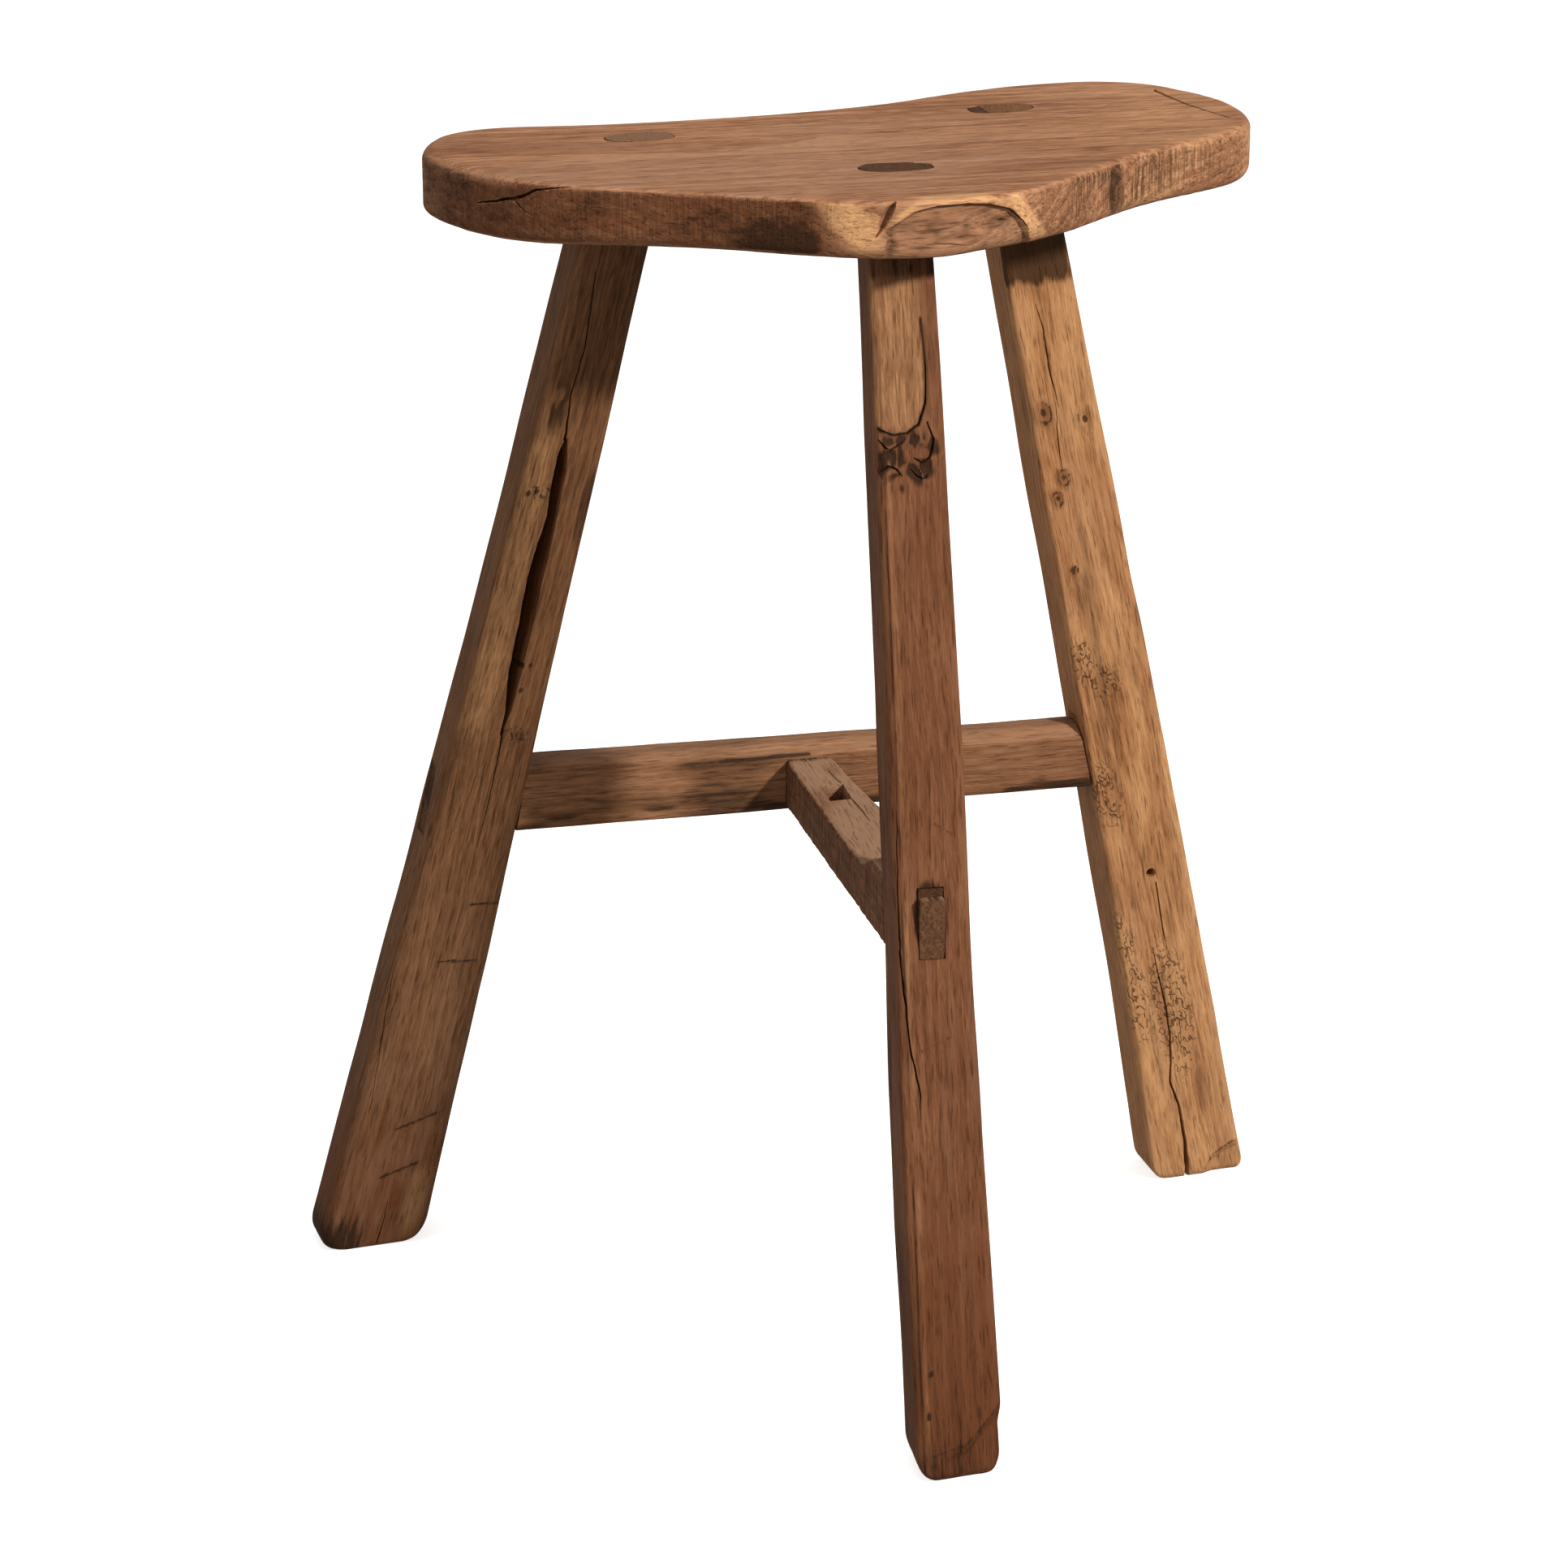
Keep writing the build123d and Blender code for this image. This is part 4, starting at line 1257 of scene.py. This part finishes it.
def seat_profile(top_round, low_round):
    """Rings of the plank from the underside's middle to the top's: for each its inset
    from the outline, its height, how far it faces up (-1 to 1), and its size."""
    sizes = (0.05, 0.15, 0.28, 0.42, 0.55, 0.67, 0.77, 0.85, 0.91, 0.96)
    rings = [(RIM, SEAT_UNDER, -1, size) for size in sizes]
    for part in np.linspace(0, 1, 4)[:-1]:
        rings.append((RIM + (low_round - RIM) * part, SEAT_UNDER, -1, 1))
    for a in np.radians(np.linspace(0, 90, 11)):
        height = SEAT_UNDER + low_round * (1 - math.cos(a))
        rings.append((low_round * (1 - math.sin(a)), height, math.cos(a) * -1, 1))
    low, high = SEAT_UNDER + low_round, SEAT_TOP - top_round
    for part in np.linspace(0, 1, 30)[1:-1]:
        rings.append((0, low + (high - low) * part, 0, 1))
    for a in np.radians(np.linspace(0, 90, 10)):
        height = SEAT_TOP - top_round * (1 - math.sin(a))
        rings.append((top_round * (1 - math.cos(a)), height, math.sin(a), 1))
    for part in np.linspace(0, 1, 8)[1:]:
        rings.append((top_round + (RIM - top_round) * part, SEAT_TOP, 1, 1))
    return rings + [(RIM, SEAT_TOP, 1, size) for size in np.linspace(1, 0.03, 48)[1:]]


def build_plank():
    columns = 700
    ring, out = seat_ring(columns)
    x0, y0 = ring.T
    line = np.c_[ring, 0 * x0]
    left_end = smooth(-112, -152, x0)
    right_end = smooth(120, 160, x0)
    front = smooth(10, -20, y0)
    top_round = 2.4 + 2.6 * left_end + 1.6 * right_end + 1.2 * front * smooth(55, 90, x0)
    top_round = top_round + 0.7 * noise(line, (26, 26, 1), 501)
    low_round = 5.0 - 1.5 * left_end + 1.0 * noise(line, (40, 40, 1), 502)
    low_round = low_round + 3.0 * front * band(x0, 22, 66, 10)
    profile = seat_profile(top_round, low_round)
    middle = np.array(SEAT_MIDDLE)
    rings = []
    for inset, height, _, size in profile:
        plan = ring - out * np.broadcast_to(inset, x0.shape)[:, None]
        rings.append(np.c_[middle + (plan - middle) * size, np.broadcast_to(height, x0.shape)])
    points = np.concatenate(rings)
    rise = np.repeat([row[2] for row in profile], columns)
    level = np.sqrt(1 - rise**2)
    side = np.tile(out, (len(profile), 1))
    x, y, z = points.T
    inward = 0.35 * noise(points, (60, 40, 40), 503) + 0.12 * noise(points, (34, 7, 7), 504)
    inward += 0.05 * noise(points, (20, 1.8, 1.8), 505)
    dish = smooth(1.3, 0.1, np.hypot((x + 10) / 150, (y - 15) / 75))
    inward += smooth(0.6, 1, rise) * 0.9 * dish
    wall = level * (y < 20)
    inward += wall * 2.8 * scar_mask(x, z) * (1 + 0.35 * noise(points, (12, 9, 3.5), 506))
    inward += wall * 0.25 * noise(points, (3.0, 3.0, 16), 507) * band(x, 62, 140, 10)
    inward += wall * 0.45 * noise(points, (9, 9, 5), 508) * band(x, -34, -9, 5)
    points[:, :2] -= side * (level * inward)[:, None]
    points[:, 2] -= rise * inward
    points[:, 2] -= 2.4 * smooth(-95, -145, x) * smooth(493, 482, z)
    return solid("plank", points.reshape(len(profile), columns, 3), ())


def seat_mortise(leg):
    """Through cutter for the leg's tenon and its wedge."""
    tip, head = wedge_spans(leg)
    z = np.array([SEAT_UNDER - 3, SEAT_TOP - WEDGE_LENGTH, SEAT_TOP - 3, SEAT_TOP - 0.6, SEAT_TOP + 3])
    spread = np.array([0.35, 0.35, 0.4, 0.55, 2.2])
    left, right = leg.tenon
    left = np.array([left, min(left, tip[0])] + [min(left, head[0])] * 3) - spread
    right = np.array([right, max(right, tip[1])] + [max(right, head[1])] * 3) + spread
    corners = by_side(leg, MORTISE_ROUND)
    return solid("mortise", upright_rings(leg, z, left, right, TENON_HALF + spread, corners), PLAIN_CAP)


def seat_cracks():
    left_crack = [
        (-145, -8, 488, 0.4), (-134, -23.5, 492.5, 1.8), (-127, -31, 497, 1.2), (-116, -39, 499.5, 0.4),
    ]
    left_branch = [(-134, -23.5, 492.5, 1.2), (-131, -26, 489, 0.8), (-128, -29, 487, 0.3)]
    gouge = [
        (-5.5, -91.5, 500.3, 1.5), (-8, -91.6, 497, 5.4), (-10.5, -91.2, 492, 5.0), (-13, -90.5, 487, 0.5),
    ]
    top_crack = [
        (143.5, 79, 499.6, 2.6), (145, 66, 499.6, 2.2), (148, 46, 499.6, 1.7),
        (151, 36, 499.6, 1.4), (156, 20, 499.4, 1.2), (163, 16, 497, 0.5),
    ]
    scar_crack = [
        (-8, -90, 490, 0.3), (1, -90.5, 496, 0.9), (9, -90.5, 498, 1.1), (21, -89.5, 498.2, 1.2),
        (30, -88, 497, 0.9), (39, -84.5, 494, 0.8), (46, -80, 487, 0.4),
    ]
    return [
        groove(left_crack, (0.6, 0.75, -0.2), 6, 61, 0.5),
        groove(left_branch, (0.6, 0.75, 0), 5, 62, 0.5),
        groove(gouge, (0.15, 1, -0.1), 3.4, 63),
        groove(top_crack, (0, 0, -1), 5, 64, 0.5),
        groove(scar_crack, (-0.1, 1, 0.25), 4, 65, 0.4),
        groove([(6, -90, 483.5, 0.3), (14, -90, 483, 0.9), (24, -89, 481.5, 0.4)], (0, 1, 0.2), 4, 66, 0.4),
    ]


def seat_looks(piece):
    """Grain coordinates and masks of the seat."""
    p, n = read_points(piece), read_normals(piece)
    x, y, z = p.T
    top = smooth(0.55, 0.9, n[:, 2])
    under = smooth(0.5, 0.8, -n[:, 2])
    wall = 1 - smooth(0.5, 0.85, np.abs(n[:, 2]))
    front = wall * smooth(30, -5, y)
    left = smooth(-20, -40, x)
    rough = noise(p, (30, 12, 9), 511)
    fine = noise(p, (6, 6, 4), 512)
    strokes = noise(p, (1.2, 1.2, 14), 513)
    arc = z - 0.16 * (x + 60) - 0.0015 * (x + 60) ** 2
    arcs = noise(np.c_[x, 0 * x, arc], (60, 1, 2.4), 514)
    scar = front * scar_mask(x, z + 1)
    above_scar = np.abs(z - np.interp(x, *SCAR_EDGE) - 1.5)
    depth = SEAT_TOP - z

    saw_rows = band(x, 66, 152, 8) * smooth(478, 486, z + 5 * fine) * smooth(502, 498, z + 2 * fine)
    saw = most(
        front * (1 - 0.3 * smooth(100, 130, x)) * saw_rows * smooth(-0.9, 0.1, rough),
        front * (0.35 * band(x, 48, 76, 5) + 0.35 * left),
    )
    dark_band = smooth(-78, -46, x + 5 * fine) * smooth(-24, -38, x + 3 * fine)
    dark_band = dark_band * smooth(506, 482, z + 3 * fine)
    stain_and_shade = most(
        wall * (0.35 + 0.3 * rough) * smooth(60, -60, x),
        front * left * (0.22 + 0.34 * arcs + 0.10 * fine),
        front * 0.85 * dark_band,
        wall * (0.42 + 0.2 * fine) * smooth(-128, -152, x),
        front * 0.6 * blob(x + 1.5 * strokes, z, 91, 491, 4.5, 13, 0.6),
    )
    stain_and_shade = most(stain_and_shade * (1 - scar), scar * (0.3 + 0.3 * fine), front * 0.7 * blob(x, z, -11, 484, 7, 6, 0.6))
    sap = most(
        front * band(x, 36.5 + depth * 0.62, 42.5 + depth * 0.72, 1.2),
        front * 0.9 * blob(x + 0.6 * (z - 490), z, -19, 492, 8.5, 11, 0.45),
        0.75 * smooth(2.2, 0.6, above_scar) * band(x, -6, 40, 3) * smooth(-83, -86, y),
    )
    stain_and_shade = most(
        stain_and_shade * (1 - sap),
        under * (0.35 + 0.3 * rough),
        top * 0.25 * smooth(0.25, 0.8, noise(p, (60, 5, 5), 516)),
    )
    grey_top = noise(p, (50, 14, 9), 515) + 0.7 * blob(x, y, -50, -24, 80, 40, 0.7)
    red = front * left * (1.0 - 0.4 * smooth(0.25, 0.6, arcs))
    red = red + top * 0.5 * smooth(0.05, 0.6, noise(p, (70, 9, 9), 518)) + 0.4 * scar * smooth(0, 0.6, fine)
    arris = smooth(0.15, 0.5, n[:, 2]) * (1 - smooth(0.8, 0.97, n[:, 2]))
    masks = {
        "stain_and_shade": stain_and_shade,
        "pale": most(sap, (0.3 * top + 0.6 * wall) * smooth(60, 130, x) * smooth(-0.3, 0.4, rough)),
        "grey": most(top * 0.6 * smooth(-0.1, 0.5, grey_top), 0.35 * scar),
        "saw": saw,
        "worn": arris * smooth(-0.3, 0.3, noise(p, (20, 20, 8), 517)),
        "red": red,
    }
    return np.c_[y - 10, z - 425, x + 6000], masks


def build_seat():
    plank = build_plank()
    cut(plank, [seat_mortise(leg) for leg in (LEFT, RIGHT, FRONT)] + seat_cracks())
    finish_piece(plank, "seat", "seat_wood", *seat_looks(plank))


build_seat()


# -------------------------------------------------------- floor, light, camera
def soft_box(name, place, aim, size, energy, colour):
    light = bpy.data.lights.new(name, "AREA")
    light.shape = "DISK"
    light.size = size
    light.energy = energy
    light.color = colour
    lamp = bpy.data.objects.new(name, light)
    lamp.location = place
    lamp.rotation_mode = "QUATERNION"
    lamp.rotation_quaternion = (Vector(aim) - lamp.location).to_track_quat("-Z", "Y")
    bpy.context.scene.collection.objects.link(lamp)


def build_floor():
    reach = 12000
    corners = [(-reach, -reach, 0), (reach, -reach, 0), (reach, reach, 0), (-reach, reach, 0)]
    floor = make_mesh("floor", corners, [(0, 1, 2, 3)])
    paper = bpy.data.materials.new("paper")
    paper.use_nodes = True
    shader = paper.node_tree.nodes["Principled BSDF"]
    shader.inputs["Base Color"].default_value = (0.86, 0.86, 0.86, 1)
    shader.inputs["Roughness"].default_value = 0.9
    shader.inputs["Specular IOR Level"].default_value = 0.1
    shader.inputs["Emission Color"].default_value = (1, 1, 1, 1)
    shader.inputs["Emission Strength"].default_value = 0.72
    floor.data.materials.append(paper)
    floor.visible_diffuse = False
    floor.visible_glossy = False


def build_room():
    """The camera sees a white room; the object is lit by a much dimmer one."""
    world = bpy.data.worlds.new("room")
    bpy.context.scene.world = world
    world.use_nodes = True
    tree = world.node_tree
    dim = tree.nodes["Background"]
    dim.inputs["Color"].default_value = (1.0, 0.95, 0.90, 1)
    dim.inputs["Strength"].default_value = 0.34
    white = tree.nodes.new("ShaderNodeBackground")
    white.inputs["Color"].default_value = (1, 1, 1, 1)
    white.inputs["Strength"].default_value = 1.0
    rays = tree.nodes.new("ShaderNodeLightPath")
    choice = tree.nodes.new("ShaderNodeMixShader")
    tree.links.new(rays.outputs["Is Camera Ray"], choice.inputs[0])
    tree.links.new(dim.outputs[0], choice.inputs[1])
    tree.links.new(white.outputs[0], choice.inputs[2])
    tree.links.new(choice.outputs[0], tree.nodes["World Output"].inputs[0])


def build_camera():
    lens = bpy.data.cameras.new("camera")
    lens.sensor_width = 36
    lens.lens = 102.48
    lens.clip_end = 60
    camera = bpy.data.objects.new("camera", lens)
    camera.location = (-0.39358, -1.62649, 0.87061)
    camera.rotation_mode = "QUATERNION"
    camera.rotation_quaternion = Vector((0.20602, 0.91309, -0.35188)).to_track_quat("-Z", "Y")
    bpy.context.scene.collection.objects.link(camera)
    bpy.context.scene.camera = camera
    bpy.context.scene.view_settings.view_transform = "Standard"


build_floor()
build_room()
soft_box("key", (1.77, -2.43, 1.95), (0, 0, 0.30), 0.24, 134, (1.0, 0.96, 0.91))
soft_box("fill", (-2.3, -1.3, 0.9), (0, 0, 0.25), 1.8, 17, (1.0, 0.95, 0.90))
soft_box("overhead", (0.1, -0.2, 2.3), (0, 0, 0.4), 1.6, 15, (1.0, 0.985, 0.97))
build_camera()
